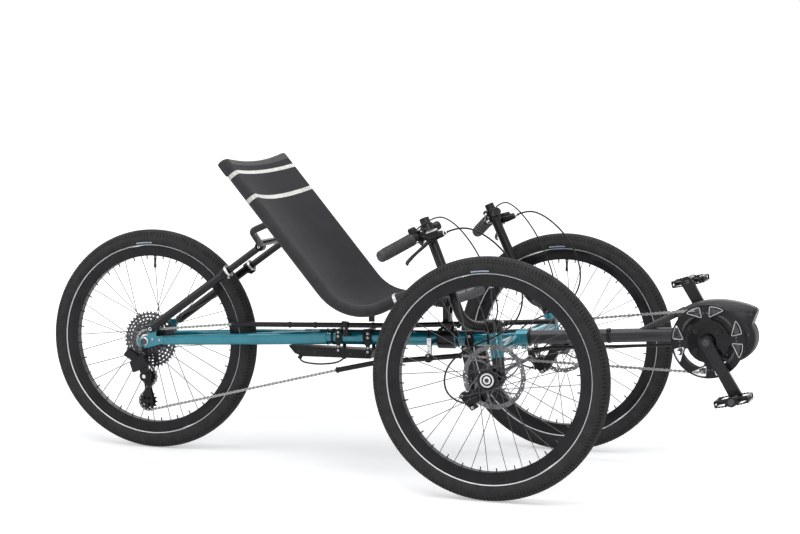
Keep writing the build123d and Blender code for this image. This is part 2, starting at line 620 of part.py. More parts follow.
for side, s in SIDES:
    angle = radians(CRANK_ANGLE) if s < 0 else radians(CRANK_ANGLE + 180)
    middle = CRANK + Vector(CRANK_LEN * cos(angle), 0, CRANK_LEN * sin(angle))
    inner = ARM_Y + ARM_T + 2
    plane = Plane(origin=middle + Vector(0, s * (inner + PEDAL_W / 2), 0),
                  x_dir=(cos(radians(PEDAL_TILT)), 0, sin(radians(PEDAL_TILT))), z_dir=(0, -1, 0))
    with BuildPart() as pedal:
        with Locations(plane):
            Box(PEDAL_L, PEDAL_T, PEDAL_W)
            for x in (-1, 1):
                with Locations((x * PEDAL_L * 0.3, 0, 0)):
                    Box(PEDAL_L * 0.24, PEDAL_T + 2, PEDAL_W - 22, mode=Mode.SUBTRACT)
            Cylinder(PEDAL_PIN_R + RUN, PEDAL_W + 2, mode=Mode.SUBTRACT)
    write(pedal.part, f"pedal_{side}")

# ---- knuckles, handlebars and brakes --------------------------------------------------------
HEAD_TOP = HEAD_LOW + HEAD_TUBE_L
STUB_IN = 14.0             # shoulder radius of the stub axle
ARM_R = 7.0
TIE_X = -80.0
TIE_Z = TYRE_R - 39.5
TIE_Y = KINGPIN_Y + (TYRE_R - TIE_Z) * tan(radians(INCLINE)) - 8.6
TIE_R = 6.0
TIE_PIN_R = 5.0
TIE_EYE = 15.0             # height of the tie rod's eyes
TIE_EYE_R = 12.0
TIE_PLAY = 3.0             # of the left eye on its pin
# a tie rod pin's lean per unit of rise, rearward and inward
TIE_LEAN = (0.1347, 0.2745)
CALIPER_X = -62.0
CALIPER_Z = TYRE_R - 61.5
CALIPER_W = 30.0
ROTOR_Y = WHEEL_Y + HUB_INNER + 4 - ROTOR_T / 2
STEM_LOW = HEAD_TOP + 3.0
STEM_L = 30.0
BAR_R = 14.0
GRIP_BAR_R = 11.0
GRIP_R = 17.0
GRIP_L = 126.0
# riser tube: x, y and z of its foot in the stem, its bend and its top
RISER = ((-27, KINGPIN_Y - 36.4, TYRE_R + 128.5), (-94, KINGPIN_Y + 25.6, TYRE_R + 128.5),
         (-222, KINGPIN_Y - 0.9, TYRE_R + 418.5))
RISER_BEND = 58.0
# outer end of the grip bar, and the height at which it meets the riser
GRIP_END = (-302.0, KINGPIN_Y + 144.6, TYRE_R + 322.0)
GRIP_MEETS_Z = TYRE_R + 388.5
BAR_STUB_R = 13.0          # of the grip bar's free end, inboard of the riser
BAR_STUB = (18.0, 36.0)    # from the riser's axis to its two ends
BRAKE_AT = 146.0           # along the grip bar, from its outer end
CYLINDER_END = (BRAKE_AT + 34, 74.0, 0.0)     # along, ahead of and above the grip bar
CALIPER_NIPPLE = (CALIPER_X - 18, ROTOR_Y - 8, CALIPER_Z - 18)
NIPPLE_R = 4.0
NIPPLE_L = 9.0
HOSE_R = 2.5
# corners of a hose between the brake cylinder and the caliper, ahead of the kingpin
HOSE = (
    (-105, 356, 740), (-48, 344, 722), (10, 336, 676), (50, 334, 615),
    (68, 334, 548), (52, 334, 486), (6, 336, 446), (-56, 339, 418), (-114, 341, 386),
    (-150, 346, 340), (-150, 353, 288), (-116, 362, 258),
)


def riser_point(s, z):
    """The point of the riser's straight stretch at height z."""
    (x0, y0, z0), (x1, y1, z1) = RISER[1:]
    part = (z - z0) / (z1 - z0)
    return at(x0 + (x1 - x0) * part, s * (y0 + (y1 - y0) * part), z)


def grip_frame(s):
    """Outer end, length to the riser, and the directions inboard, forward and up."""
    end = at(GRIP_END[0], s * GRIP_END[1], GRIP_END[2])
    span = riser_point(s, GRIP_MEETS_Z) - end
    inboard = span.normalized()
    forward = Vector(-s * inboard.Y, s * inboard.X, 0).normalized()
    return end, span.length, inboard, forward, (inboard.cross(forward) * s).normalized()


def on_grip(s, along, forward=0.0, lift=0.0):
    """A point by the grip bar: along it from its outer end, ahead of it and above it."""
    end, length, inboard, ahead, up = grip_frame(s)
    return end + inboard * along + ahead * forward + up * lift


def tie_pin(s, along):
    """A point on a tie rod pin's axis, along it from the tie rod's axis."""
    back, inward = TIE_LEAN
    return at(TIE_X, s * TIE_Y, TIE_Z) + Vector(-back, -s * inward, 1).normalized() * along


def make_knuckle(s):
    stub_y = WHEEL_Y + HUB_INNER - FIT
    with BuildPart() as knuckle:
        rod(kingpin(s, -12), kingpin(s, HEAD_LOW - FIT), 17)
        rod(kingpin(s, 0), kingpin(s, STEM_LOW + STEM_L + 2), KINGPIN_R)
        rod(kingpin(s, HEAD_TOP + FIT), kingpin(s, STEM_LOW - FIT), 16)
        rod(at(0, s * (KINGPIN_Y - 10), TYRE_R), at(0, s * stub_y, TYRE_R), STUB_IN)
        rod(at(0, s * stub_y, TYRE_R), at(0, s * (WHEEL_Y + HUB_OUTER - 5), TYRE_R), AXLE_R)
        # steering arm back to the tie rod's pin
        rod(kingpin(s, -4), tie_pin(s, 19), ARM_R)
        rod(tie_pin(s, 11.5), tie_pin(s, 26), 11)
        rod(tie_pin(s, -TIE_EYE / 2 - 3), tie_pin(s, 19), TIE_PIN_R)
        # caliper mount
        lug_in, lug_out = KINGPIN_Y + 10, ROTOR_Y - CALIPER_W / 2 - FIT
        with BuildSketch(side_plane(s * (lug_in + lug_out) / 2)) as lug:
            with BuildLine():
                Polyline((-12, TYRE_R + 12), (12, TYRE_R - 6), (-34, CALIPER_Z - 20),
                         (-52, CALIPER_Z + 4), close=True)
            make_face()
        extrude(lug.sketch, amount=(lug_out - lug_in) / 2, both=True)
    return knuckle.part


def make_handlebar(s):
    """Stem clamp, riser tube and the grip bar that crosses it near its top."""
    reach = grip_frame(s)[1]
    with BuildPart() as bar:
        rod(kingpin(s, STEM_LOW), kingpin(s, STEM_LOW + STEM_L), 18)
        tube([at(x, s * y, z) for x, y, z in RISER], RISER_BEND, BAR_R)
        rod(kingpin(s, STEM_LOW - 1), kingpin(s, STEM_LOW + STEM_L + 3), KINGPIN_R + RUN,
            mode=Mode.SUBTRACT)
        rod(on_grip(s, 4), on_grip(s, reach + BAR_STUB[0] + 1), GRIP_BAR_R)
        rod(on_grip(s, reach + BAR_STUB[0]), on_grip(s, reach + BAR_STUB[1]), BAR_STUB_R)
    return bar.part


def hose_outlet(s, out):
    """A point on the nipple at the brake cylinder's end, along the hose's way out."""
    foot = on_grip(s, *CYLINDER_END)
    x, y, z = HOSE[0]
    return foot + (at(x, s * y, z) - foot).normalized() * out


def hose_inlet(s, out):
    """A point on the caliper's nipple, along the hose's way out of it."""
    foot = at(*CALIPER_NIPPLE[:1], s * CALIPER_NIPPLE[1], CALIPER_NIPPLE[2])
    x, y, z = HOSE[-1]
    return foot + (at(x, s * y, z) - foot).normalized() * out


def make_grip(s):
    with BuildPart() as grip:
        rod(on_grip(s, 0), on_grip(s, GRIP_L), GRIP_R)
        rod(on_grip(s, 3.7), on_grip(s, GRIP_L + 1), GRIP_BAR_R + RUN, mode=Mode.SUBTRACT)
    return grip.part


def make_lever(s):
    """Brake lever: clamp on the grip bar, master cylinder and blade."""
    with BuildPart() as lever:
        rod(on_grip(s, BRAKE_AT - 7), on_grip(s, BRAKE_AT + 7), 16)
        rod(on_grip(s, BRAKE_AT + 2, 10, -4), on_grip(s, BRAKE_AT + 9, 34, -8), 8)
        rod(on_grip(s, BRAKE_AT + 2, 30, -8), on_grip(s, *CYLINDER_END), 12)
        rod(hose_outlet(s, -5), hose_outlet(s, NIPPLE_L), NIPPLE_R)
        rod(on_grip(s, BRAKE_AT + 4, 36, -10), on_grip(s, 92, 38, -26), 5)
        rod(on_grip(s, 92, 38, -26), on_grip(s, 48, 42, -37), 4.5)
        rod(on_grip(s, BRAKE_AT - 8), on_grip(s, BRAKE_AT + 16), GRIP_BAR_R + RUN, mode=Mode.SUBTRACT)
    return lever.part


def make_pod(s):
    """Control pod standing on the grip bar between the grip and the brake clamp."""
    with BuildPart() as pod:
        rod(on_grip(s, GRIP_L + 1), on_grip(s, BRAKE_AT - 8), 15)
        rod(on_grip(s, GRIP_L + 6, 0, 8), on_grip(s, GRIP_L + 6, -6, 32), 11)
        rod(on_grip(s, GRIP_L), on_grip(s, BRAKE_AT), GRIP_BAR_R + RUN, mode=Mode.SUBTRACT)
        rod(on_grip(s, BRAKE_AT - 7 - FIT), on_grip(s, BRAKE_AT + 20), 40, mode=Mode.SUBTRACT)
        rod(on_grip(s, GRIP_L - 20), on_grip(s, GRIP_L + FIT), 40, mode=Mode.SUBTRACT)
    return pod.part


def make_caliper(s):
    """Caliper straddling the rotor's lower rear edge, with the hose's nipple."""
    with BuildPart() as caliper:
        middle = at(CALIPER_X, s * ROTOR_Y, CALIPER_Z)
        with Locations(Plane(origin=middle, x_dir=(0.71, 0, 0.71), z_dir=(-0.71, 0, 0.71))):
            Box(36, CALIPER_W, 58)
            Box(46, 5, 64, mode=Mode.SUBTRACT)
            with Locations((-21, 0, 0)):
                Box(9, CALIPER_W, 40)
        rod(hose_inlet(s, 0), hose_inlet(s, NIPPLE_L), NIPPLE_R)
        add(make_knuckle(s), mode=Mode.SUBTRACT)
    return caliper.part


for side, s in SIDES:
    write(make_knuckle(s), f"knuckle_{side}")
    write(make_handlebar(s), f"handlebar_{side}")
    write(make_grip(s), f"grip_{side}")
    write(make_lever(s), f"brake_lever_{side}")
    write(make_pod(s), f"control_pod_{side}")
    write(make_caliper(s), f"caliper_{side}")

with BuildPart() as tie_rod:
    rod(tie_pin(-1, 0), tie_pin(1, 0), TIE_R)
    for side, s in SIDES:
        rod(tie_pin(s, -TIE_EYE / 2), tie_pin(s, TIE_EYE / 2), TIE_EYE_R)
    for s, play in ((-1, RUN), (1, TIE_PLAY)):
        rod(tie_pin(s, -TIE_EYE), tie_pin(s, TIE_EYE), TIE_PIN_R + play, mode=Mode.SUBTRACT)
write(tie_rod.part, "tie_rod")

# ---- seat -------------------------------------------------------------------------------------
SEAT_HALF = 222.0          # from the middle plane to a side rail's axis
RAIL_R = 14.0
FABRIC_T = 4.0
# side rail: x, y and z of its corners, and the bends between
RAIL = ((-858, SEAT_HALF, 882), (-479, SEAT_HALF, 438), (-298, SEAT_HALF - 8, 530),
        (-205, SEAT_HALF - 45, 508))
RAIL_BENDS = (150, 60)
CROSS_R = 10.0
SEAT_MOUNT_X = -250.0
NOSE_CROSS_Z = 503.0       # cross tube over the seat's mount
NOSE_CROSS_Y = SEAT_HALF - 28
BOW = (-792, 648)          # middle of the bowed tube behind the back, x and z
BOW_IN = 26.0              # of its bends, from the rail's axis

with BuildPart() as seat_rails:
    for side, s in SIDES:
        tube([at(x, s * y, z) for x, y, z in RAIL], RAIL_BENDS, RAIL_R)
    rod(at(RAIL[0][0], -SEAT_HALF, RAIL[0][2] - 6), at(RAIL[0][0], SEAT_HALF, RAIL[0][2] - 6), CROSS_R)
    rod(at(RAIL[3][0], -RAIL[3][1] - 6, RAIL[3][2]), at(RAIL[3][0], RAIL[3][1] + 6, RAIL[3][2]), RAIL_R)
    # bowed cross tube behind the back, which takes the struts
    bow = [(BOW[0] + 74, SEAT_HALF, BOW[1] + 70), (BOW[0] + 6, SEAT_HALF - BOW_IN, BOW[1] + 42),
           (BOW[0], SEAT_HALF - BOW_IN - 76, BOW[1])]
    tube([at(x, -y, z) for x, y, z in bow] + [at(x, y, z) for x, y, z in bow[::-1]], 28, CROSS_R)
    # lower cross tube over the seat's clamp
    rod(at(SEAT_MOUNT_X, -NOSE_CROSS_Y, NOSE_CROSS_Z), at(SEAT_MOUNT_X, NOSE_CROSS_Y, NOSE_CROSS_Z), CROSS_R)
write(seat_rails.part, "seat_rails")

# sections of the sling: part of the rail's length, inset from the rail, sag in the middle
SLING = ((0.02, 8, 6), (0.12, 8, 16), (0.25, 8, 26), (0.38, 8, 30), (0.50, 8, 30), (0.60, 8, 28),
         (0.70, 8, 26), (0.80, 10, 22), (0.88, 16, 12), (0.94, 32, 5), (0.985, 46, 2))
FABRIC_LIFT = 9.0          # of the sling's edge over the rails' axes
with BuildPart() as seat_mesh:
    with BuildLine(mode=Mode.PRIVATE) as side_line:
        FilletPolyline(*[(x, z) for x, y, z in RAIL], radius=RAIL_BENDS)
    for part, inset, sag in SLING:
        half = SEAT_HALF - inset
        spot, slope = side_line.line @ part, side_line.line % part
        plane = Plane(origin=at(spot.X, 0, spot.Y), x_dir=(0, 1, 0), z_dir=(slope.X, 0, slope.Y))
        with BuildSketch(plane) as section:
            with BuildLine():
                upper = ThreePointArc((-half, FABRIC_LIFT), (0, FABRIC_LIFT - sag), (half, FABRIC_LIFT))
                lower = ThreePointArc((half, FABRIC_LIFT - FABRIC_T), (0, FABRIC_LIFT - sag - FABRIC_T),
                                      (-half, FABRIC_LIFT - FABRIC_T))
                Line(upper @ 1, lower @ 0)
                Line(lower @ 1, upper @ 0)
            make_face()
    loft()
    add(seat_rails.part, mode=Mode.SUBTRACT)
write(seat_mesh.part, "seat_mesh")

STRUT_Y = 92.0
STRUT_LOW = (26 - WHEELBASE, TYRE_R + 40.5)
STRUT_TOP = (BOW[0] - 4, BOW[1] - 8)
STRUT_R = 12.5
STRUT_IN_R = 10.0
COLLAR_AT = 305.0
strut_span = Vector(STRUT_TOP[0] - STRUT_LOW[0], STRUT_TOP[1] - STRUT_LOW[1])


def strut_point(s, along):
    part = along / strut_span.length
    return at(STRUT_LOW[0] + strut_span.X * part, s * STRUT_Y, STRUT_LOW[1] + strut_span.Y * part)


with BuildPart() as strut_lower:
    for side, s in SIDES:
        rod(strut_point(s, 14), strut_point(s, COLLAR_AT), STRUT_R)
        rod(strut_point(s, 120), strut_point(s, COLLAR_AT + 1), STRUT_IN_R + RUN, mode=Mode.SUBTRACT)
        tab = REAR_WIDTH / 2 + DROPOUT_T + FIT
        rod(at(STRUT_LOW[0], s * tab, STRUT_LOW[1]), at(STRUT_LOW[0], s * (tab + 12), STRUT_LOW[1]), 12)
        rod(at(STRUT_LOW[0], s * (tab + 8), STRUT_LOW[1]), strut_point(s, 20), 7)
write(strut_lower.part, "seat_struts_lower")

with BuildPart() as strut_upper:
    for side, s in SIDES:
        rod(strut_point(s, 130), strut_point(s, strut_span.length - 2), STRUT_IN_R)
    add(seat_rails.part, mode=Mode.SUBTRACT)
write(strut_upper.part, "seat_struts_upper")

with BuildPart() as strut_collars:
    for side, s in SIDES:
        rod(strut_point(s, COLLAR_AT - 12), strut_point(s, COLLAR_AT + 14), 17)
        rod(strut_point(s, COLLAR_AT - 14), strut_point(s, COLLAR_AT + FIT), STRUT_R + RUN, mode=Mode.SUBTRACT)
        rod(strut_point(s, COLLAR_AT - 14), strut_point(s, COLLAR_AT + 16), STRUT_IN_R + RUN,
            mode=Mode.SUBTRACT)
write(strut_collars.part, "strut_collars")

with BuildPart() as seat_mount:
    ends = [at(x, 0, rear_line(x)) for x in (SEAT_MOUNT_X - 26, SEAT_MOUNT_X + 26)]
    rod(*ends, MAIN_TUBE_R + 8)
    with Locations(at(SEAT_MOUNT_X, 0, NOSE_CROSS_Z)):
        Box(44, 40, NOSE_CROSS_Z - ends[0].Z, align=(Align.CENTER, Align.CENTER, Align.MAX))
    rod(ends[0] + (ends[0] - ends[1]), ends[1] + (ends[1] - ends[0]), MAIN_TUBE_R + RUN, mode=Mode.SUBTRACT)
    rod(at(SEAT_MOUNT_X, -60, NOSE_CROSS_Z), at(SEAT_MOUNT_X, 60, NOSE_CROSS_Z), CROSS_R + RUN,
        mode=Mode.SUBTRACT)
write(seat_mount.part, "seat_mount")

# ---- power box, its straps and the cable pipe ------------------------------------------------
BOX_TOP = 338.0
with BuildPart() as power_box:
    with BuildSketch(side_plane(26)) as body:
        with BuildLine():
            Polyline((-736, BOX_TOP), (-716, BOX_TOP - 22), (-690, BOX_TOP - 30), (-478, BOX_TOP - 26),
                     (-470, BOX_TOP), close=True)
        make_face()
    extrude(body.sketch, amount=52)
write(power_box.part, "power_box")

STRAP_T = 3.0
with BuildPart() as box_straps:
    for x in (-578, -486):
        top = rear_line(x + 10) + MAIN_TUBE_R + FIT + STRAP_T
        low = BOX_TOP - 18
        with Locations(at(x, 0, (top + low) / 2)):
            Box(20, 52 + 2 * (FIT + STRAP_T), top - low)
        with Locations(at(x, 0, (top - STRAP_T + low) / 2 - 1)):
            Box(24, 52 + 2 * FIT, top - STRAP_T - low + 2, mode=Mode.SUBTRACT)
write(box_straps.part, "box_straps")

with BuildPart() as cable_pipe:
    tube([at(8, 0, 362), at(60, 0, 371), at(263, 0, 385), at(434.6, 0, 399)], (120, 900), 4.5)
write(cable_pipe.part, "cable_pipe")

# ---- brake hoses ---------------------------------------------------------------------------
for side, s in SIDES:
    with BuildPart() as hose:
        points = [hose_outlet(s, NIPPLE_L + FIT)] + [at(x, s * y, z) for x, y, z in HOSE]
        points.append(hose_inlet(s, NIPPLE_L + FIT))
        bends = []
        for before, corner, after in zip(points, points[1:], points[2:]):
            turn = radians((corner - before).get_angle(after - corner))
            shorter = min((corner - before).length, (after - corner).length)
            bends.append(0.45 * shorter / tan(turn / 2))
        tube(points, bends, HOSE_R)
    print(f"brake_hose_{side} bend radii", [round(r) for r in bends])
    write(hose.part, f"brake_hose_{side}")
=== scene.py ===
from math import acos, asin, atan2, ceil, cos, degrees, pi, radians, sin, tan

import bmesh
import bpy
from mathutils import Matrix, Vector


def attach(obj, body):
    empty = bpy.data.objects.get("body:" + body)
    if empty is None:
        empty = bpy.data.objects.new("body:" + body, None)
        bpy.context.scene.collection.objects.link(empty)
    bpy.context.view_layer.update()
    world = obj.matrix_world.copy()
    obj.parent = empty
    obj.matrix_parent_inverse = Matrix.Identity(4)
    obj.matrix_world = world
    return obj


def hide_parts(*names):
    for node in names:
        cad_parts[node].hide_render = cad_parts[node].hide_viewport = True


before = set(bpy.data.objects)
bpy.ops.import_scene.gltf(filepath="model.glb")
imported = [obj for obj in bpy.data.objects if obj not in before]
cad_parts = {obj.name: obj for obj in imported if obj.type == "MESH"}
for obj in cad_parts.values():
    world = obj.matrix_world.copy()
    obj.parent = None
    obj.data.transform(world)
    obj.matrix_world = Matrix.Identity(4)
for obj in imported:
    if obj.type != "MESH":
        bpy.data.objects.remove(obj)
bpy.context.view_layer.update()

# Shapes are built in millimetres, with x counted from the front axle line, and finished in metres.
FRONT_X = 425.2197
WHEELBASE, TRACK, TYRE_R = 1182.0, 842.0, 333.5
SIDES = (("right", -1), ("left", 1))
X, AXLE, Z = Vector((1, 0, 0)), Vector((0, 1, 0)), Vector((0, 0, 1))
METRES = Matrix.Scale(0.001, 4) @ Matrix.Translation((FRONT_X, 0, 0))


def at(x, y, z):
    return Vector((x, y, z))


def polar(r, turn):
    return r * cos(turn), r * sin(turn)


def around(centre, r, turn, y=0.0):
    """A point at this radius and angle round a cross axle."""
    return centre + at(r * cos(turn), y, r * sin(turn))


def tube_line(x):
    """Height of the main tube's axis, which bends at x -200."""
    return 383.5 + (x + 200) * tan(radians(2.1 if x < -200 else 4))


# ---- materials ---------------------------------------------------------------------
class Nodes:
    """A material's node tree, with short ways to add and link nodes."""

    def __init__(self, name):
        self.material = bpy.data.materials.new(name)
        self.material.use_nodes = True
        self.tree = self.material.node_tree
        self.tree.nodes.clear()
        out = self.add("ShaderNodeOutputMaterial")
        self.shader = self.add("ShaderNodeBsdfPrincipled")
        self.link(self.shader.outputs[0], out.inputs[0])
        self.place = self.add("ShaderNodeTexCoord").outputs

    def add(self, kind, **inputs):
        node = self.tree.nodes.new(kind)
        for key, value in inputs.items():
            if hasattr(node, key):
                setattr(node, key, value)
            else:
                node.inputs[key.replace("_", " ")].default_value = value
        return node

    def link(self, a, b):
        self.tree.links.new(a, b)

    def noise(self, scale, detail):
        node = self.add("ShaderNodeTexNoise", Scale=scale, Detail=detail, Roughness=0.5)
        self.link(self.place["Object"], node.inputs["Vector"])
        return node.outputs["Fac"]

    def wave(self, direction, scale, distortion, detail=2.0):
        """Bands across a sheet's own flat coordinates."""
        node = self.add("ShaderNodeTexWave", Scale=scale, Distortion=distortion, Detail=detail,
                        bands_direction=direction)
        self.link(self.place["UV"], node.inputs["Vector"])
        return node.outputs["Fac"]

    def ramp(self, value, *stops):
        node = self.add("ShaderNodeValToRGB")
        elements = node.color_ramp.elements
        while len(elements) < len(stops):
            elements.new(0.5)
        for element, (spot, colour) in zip(elements, stops):
            element.position, element.color = spot, (*colour, 1)
        self.link(value, node.inputs["Fac"])
        return node.outputs["Color"]

    def math(self, operation, a, b):
        node = self.add("ShaderNodeMath", operation=operation)
        for socket, value in zip(node.inputs, (a, b)):
            if isinstance(value, float):
                socket.default_value = value
            else:
                self.link(value, socket)
        return node.outputs[0]

    def bump(self, height, strength, distance, below=None):
        node = self.add("ShaderNodeBump", Strength=strength, Distance=distance)
        self.link(height, node.inputs["Height"])
        if below:
            self.link(below, node.inputs["Normal"])
        return node.outputs[0]

    def range(self, value, low, high):
        node = self.add("ShaderNodeMapRange", To_Min=low, To_Max=high)
        self.link(value, node.inputs["Value"])
        return node.outputs[0]

    def set(self, **inputs):
        for key, value in inputs.items():
            socket = self.shader.inputs[key.replace("_", " ")]
            if isinstance(value, bpy.types.NodeSocket):
                self.link(value, socket)
            else:
                socket.default_value = value
        return self.material


def painted(name, low, high, roughness, coat, flake=0.0, metal=0.0):
    """Paint or powder coat: two close tones, a faint orange peel and a coat."""
    n = Nodes(name)
    return n.set(Base_Color=n.ramp(n.noise(18, 4), (0.3, low), (0.7, high)), Metallic=metal, Specular_IOR_Level=0.2,
                 Roughness=n.range(n.noise(60, 3), roughness - 0.04, roughness + 0.05), Coat_Weight=coat,
                 Coat_Roughness=0.06, Normal=n.bump(n.noise(900, 2), 0.05 + flake, 0.0004))


def metal(name, low, high, roughness, scale=220):
    n = Nodes(name)
    grain = n.noise(scale, 5)
    return n.set(Base_Color=n.ramp(grain, (0.25, low), (0.75, high)), Metallic=1.0,
                 Roughness=n.range(n.noise(scale / 4, 3), roughness - 0.06, roughness + 0.08),
                 Normal=n.bump(grain, 0.12, 0.0003))


def plastic(name, low, high, roughness, grain=1400, strength=0.25):
    n = Nodes(name)
    return n.set(Base_Color=n.ramp(n.noise(25, 4), (0.3, low), (0.7, high)), Specular_IOR_Level=0.22,
                 Roughness=n.range(n.noise(80, 3), roughness - 0.05, roughness + 0.06),
                 Normal=n.bump(n.noise(grain, 2), strength, 0.0003))


def tyre_rubber():
    n = Nodes("tyre_rubber")
    fine = n.bump(n.noise(1500, 2), 0.35, 0.0003)
    return n.set(Base_Color=n.ramp(n.noise(40, 5), (0.3, (0.018, 0.018, 0.0185)), (0.75, (0.032, 0.032, 0.0325))),
                 Roughness=n.range(n.noise(120, 3), 0.62, 0.78), Specular_IOR_Level=0.2, Sheen_Weight=0.05,
                 Sheen_Roughness=0.5, Normal=n.bump(n.noise(260, 3), 0.2, 0.0004, fine))


def tyre_stripe():
    n = Nodes("reflective_band")
    beads = n.noise(2600, 1)
    return n.set(Base_Color=n.ramp(beads, (0.3, (0.5, 0.51, 0.52)), (0.7, (0.7, 0.71, 0.72))),
                 Roughness=0.42, Metallic=0.25, Normal=n.bump(beads, 0.3, 0.0002))


def tyre_patch():
    n = Nodes("tyre_patch")
    return n.set(Base_Color=n.ramp(n.noise(160, 2), (0.35, (0.22, 0.36, 0.55)), (0.65, (0.3, 0.44, 0.62))),
                 Roughness=0.4, Normal=n.bump(n.noise(1800, 1), 0.2, 0.0002))


def fabric():
    """Charcoal mesh fabric, with threads across and along the sheet."""
    n = Nodes("seat_fabric")
    weave = n.math("MULTIPLY", *[n.wave(way, 105.0, 0.6, 1.0) for way in ("X", "Y")])
    blend = n.math("ADD", n.math("MULTIPLY", weave, 0.55), n.math("MULTIPLY", n.noise(7, 4), 0.45))
    return n.set(Base_Color=n.ramp(blend, (0.1, (0.020, 0.020, 0.022)), (0.45, (0.036, 0.036, 0.040)),
                                   (0.8, (0.052, 0.052, 0.057))), Roughness=0.88, Sheen_Weight=0.04,
                 Sheen_Roughness=0.5, Specular_IOR_Level=0.1, Normal=n.bump(weave, 0.35, 0.0005))


def binding():
    n = Nodes("seat_binding")
    return n.set(Base_Color=n.ramp(n.noise(30, 4), (0.3, (0.016, 0.016, 0.018)), (0.7, (0.026, 0.026, 0.029))),
                 Roughness=0.72, Sheen_Weight=0.12, Specular_IOR_Level=0.3,
                 Normal=n.bump(n.wave("DIAGONAL", 260.0, 0.4), 0.3, 0.0004))


def seat_band():
    n = Nodes("reflective_band")
    cells = n.add("ShaderNodeTexVoronoi", Scale=420.0)
    n.link(n.place["UV"], cells.inputs["Vector"])
    return n.set(Base_Color=n.ramp(n.noise(40, 3), (0.3, (0.46, 0.46, 0.43)), (0.7, (0.60, 0.60, 0.56))),
                 Roughness=0.42, Metallic=0.15, Normal=n.bump(cells.outputs["Distance"], 0.2, 0.0003))


def ribbed_rubber():
    n = Nodes("ribbed_rubber")
    return n.set(Base_Color=n.ramp(n.noise(40, 4), (0.3, (0.022, 0.022, 0.023)), (0.7, (0.04, 0.04, 0.042))),
                 Roughness=n.range(n.noise(90, 3), 0.55, 0.7), Normal=n.bump(n.noise(1500, 2), 0.3, 0.0003))


TEAL = painted("teal_paint", (0.0, 0.165, 0.225), (0.001, 0.205, 0.275), 0.24, 1.0, flake=0.05, metal=0.35)
BLACK = painted("satin_black", (0.007, 0.007, 0.008), (0.012, 0.012, 0.013), 0.3, 0.15)
ANODISED = painted("black_anodised", (0.008, 0.008, 0.009), (0.015, 0.015, 0.016), 0.36, 0.15, metal=0.5)
BOOM_PAINT = painted("boom_paint", (0.030, 0.030, 0.033), (0.044, 0.044, 0.048), 0.38, 0.3)
SILVER = metal("silver", (0.56, 0.56, 0.58), (0.72, 0.72, 0.74), 0.3)
STEEL = metal("steel", (0.38, 0.38, 0.4), (0.52, 0.52, 0.54), 0.32)
DARK_STEEL = metal("dark_steel", (0.05, 0.05, 0.053), (0.095, 0.095, 0.1), 0.38)
SPOKE = metal("spoke_wire", (0.05, 0.05, 0.053), (0.1, 0.1, 0.104), 0.34)
ROTOR = metal("rotor_face", (0.12, 0.12, 0.125), (0.19, 0.19, 0.195), 0.36, scale=500)
CHAIN = metal("chain_steel", (0.27, 0.27, 0.265), (0.38, 0.38, 0.375), 0.36)
TUBE = plastic("tube_gloss", (0.009, 0.009, 0.01), (0.014, 0.014, 0.015), 0.22, strength=0.08)
PLASTIC = plastic("black_plastic", (0.008, 0.008, 0.009), (0.014, 0.014, 0.015), 0.45)
RUBBER = plastic("grip_rubber", (0.011, 0.011, 0.012), (0.018, 0.018, 0.019), 0.7)
HOSE = plastic("hose", (0.008, 0.008, 0.009), (0.014, 0.014, 0.015), 0.38)
HOOD_PLASTIC = plastic("hood_plastic", (0.013, 0.013, 0.014), (0.021, 0.021, 0.023), 0.34, grain=1100, strength=0.15)
TYRE, STRIPE, PATCH = tyre_rubber(), tyre_stripe(), tyre_patch()
# painted shade: the tread's grooves take this rubber, darker than the tyre's own
GROOVE_SHADE = plastic("tyre_groove_shade", (0.009, 0.009, 0.009), (0.013, 0.013, 0.013), 0.85)
FABRIC, BINDING, BAND = fabric(), binding(), seat_band()
GRIP_RUBBER = ribbed_rubber()

# solids that show as they are
for material, names in (
        (TEAL, "main_frame"), (BOOM_PAINT, "boom"), (DARK_STEEL, "rear_axle"), (PLASTIC, "power_box"),
        (TUBE, "chain_tubes"), (HOSE, "cable_pipe"), (SPOKE, "spokes_right spokes_left spokes_rear"),
        (ANODISED, "rim_right rim_left rim_rear hub_right hub_left hub_rear"),
        (BLACK, "seat_struts_lower seat_struts_upper handlebar_right handlebar_left knuckle_right knuckle_left "
                "tie_rod")):
    for name in names.split():
        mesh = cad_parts[name].data
        mesh.materials.clear()
        mesh.materials.append(material)


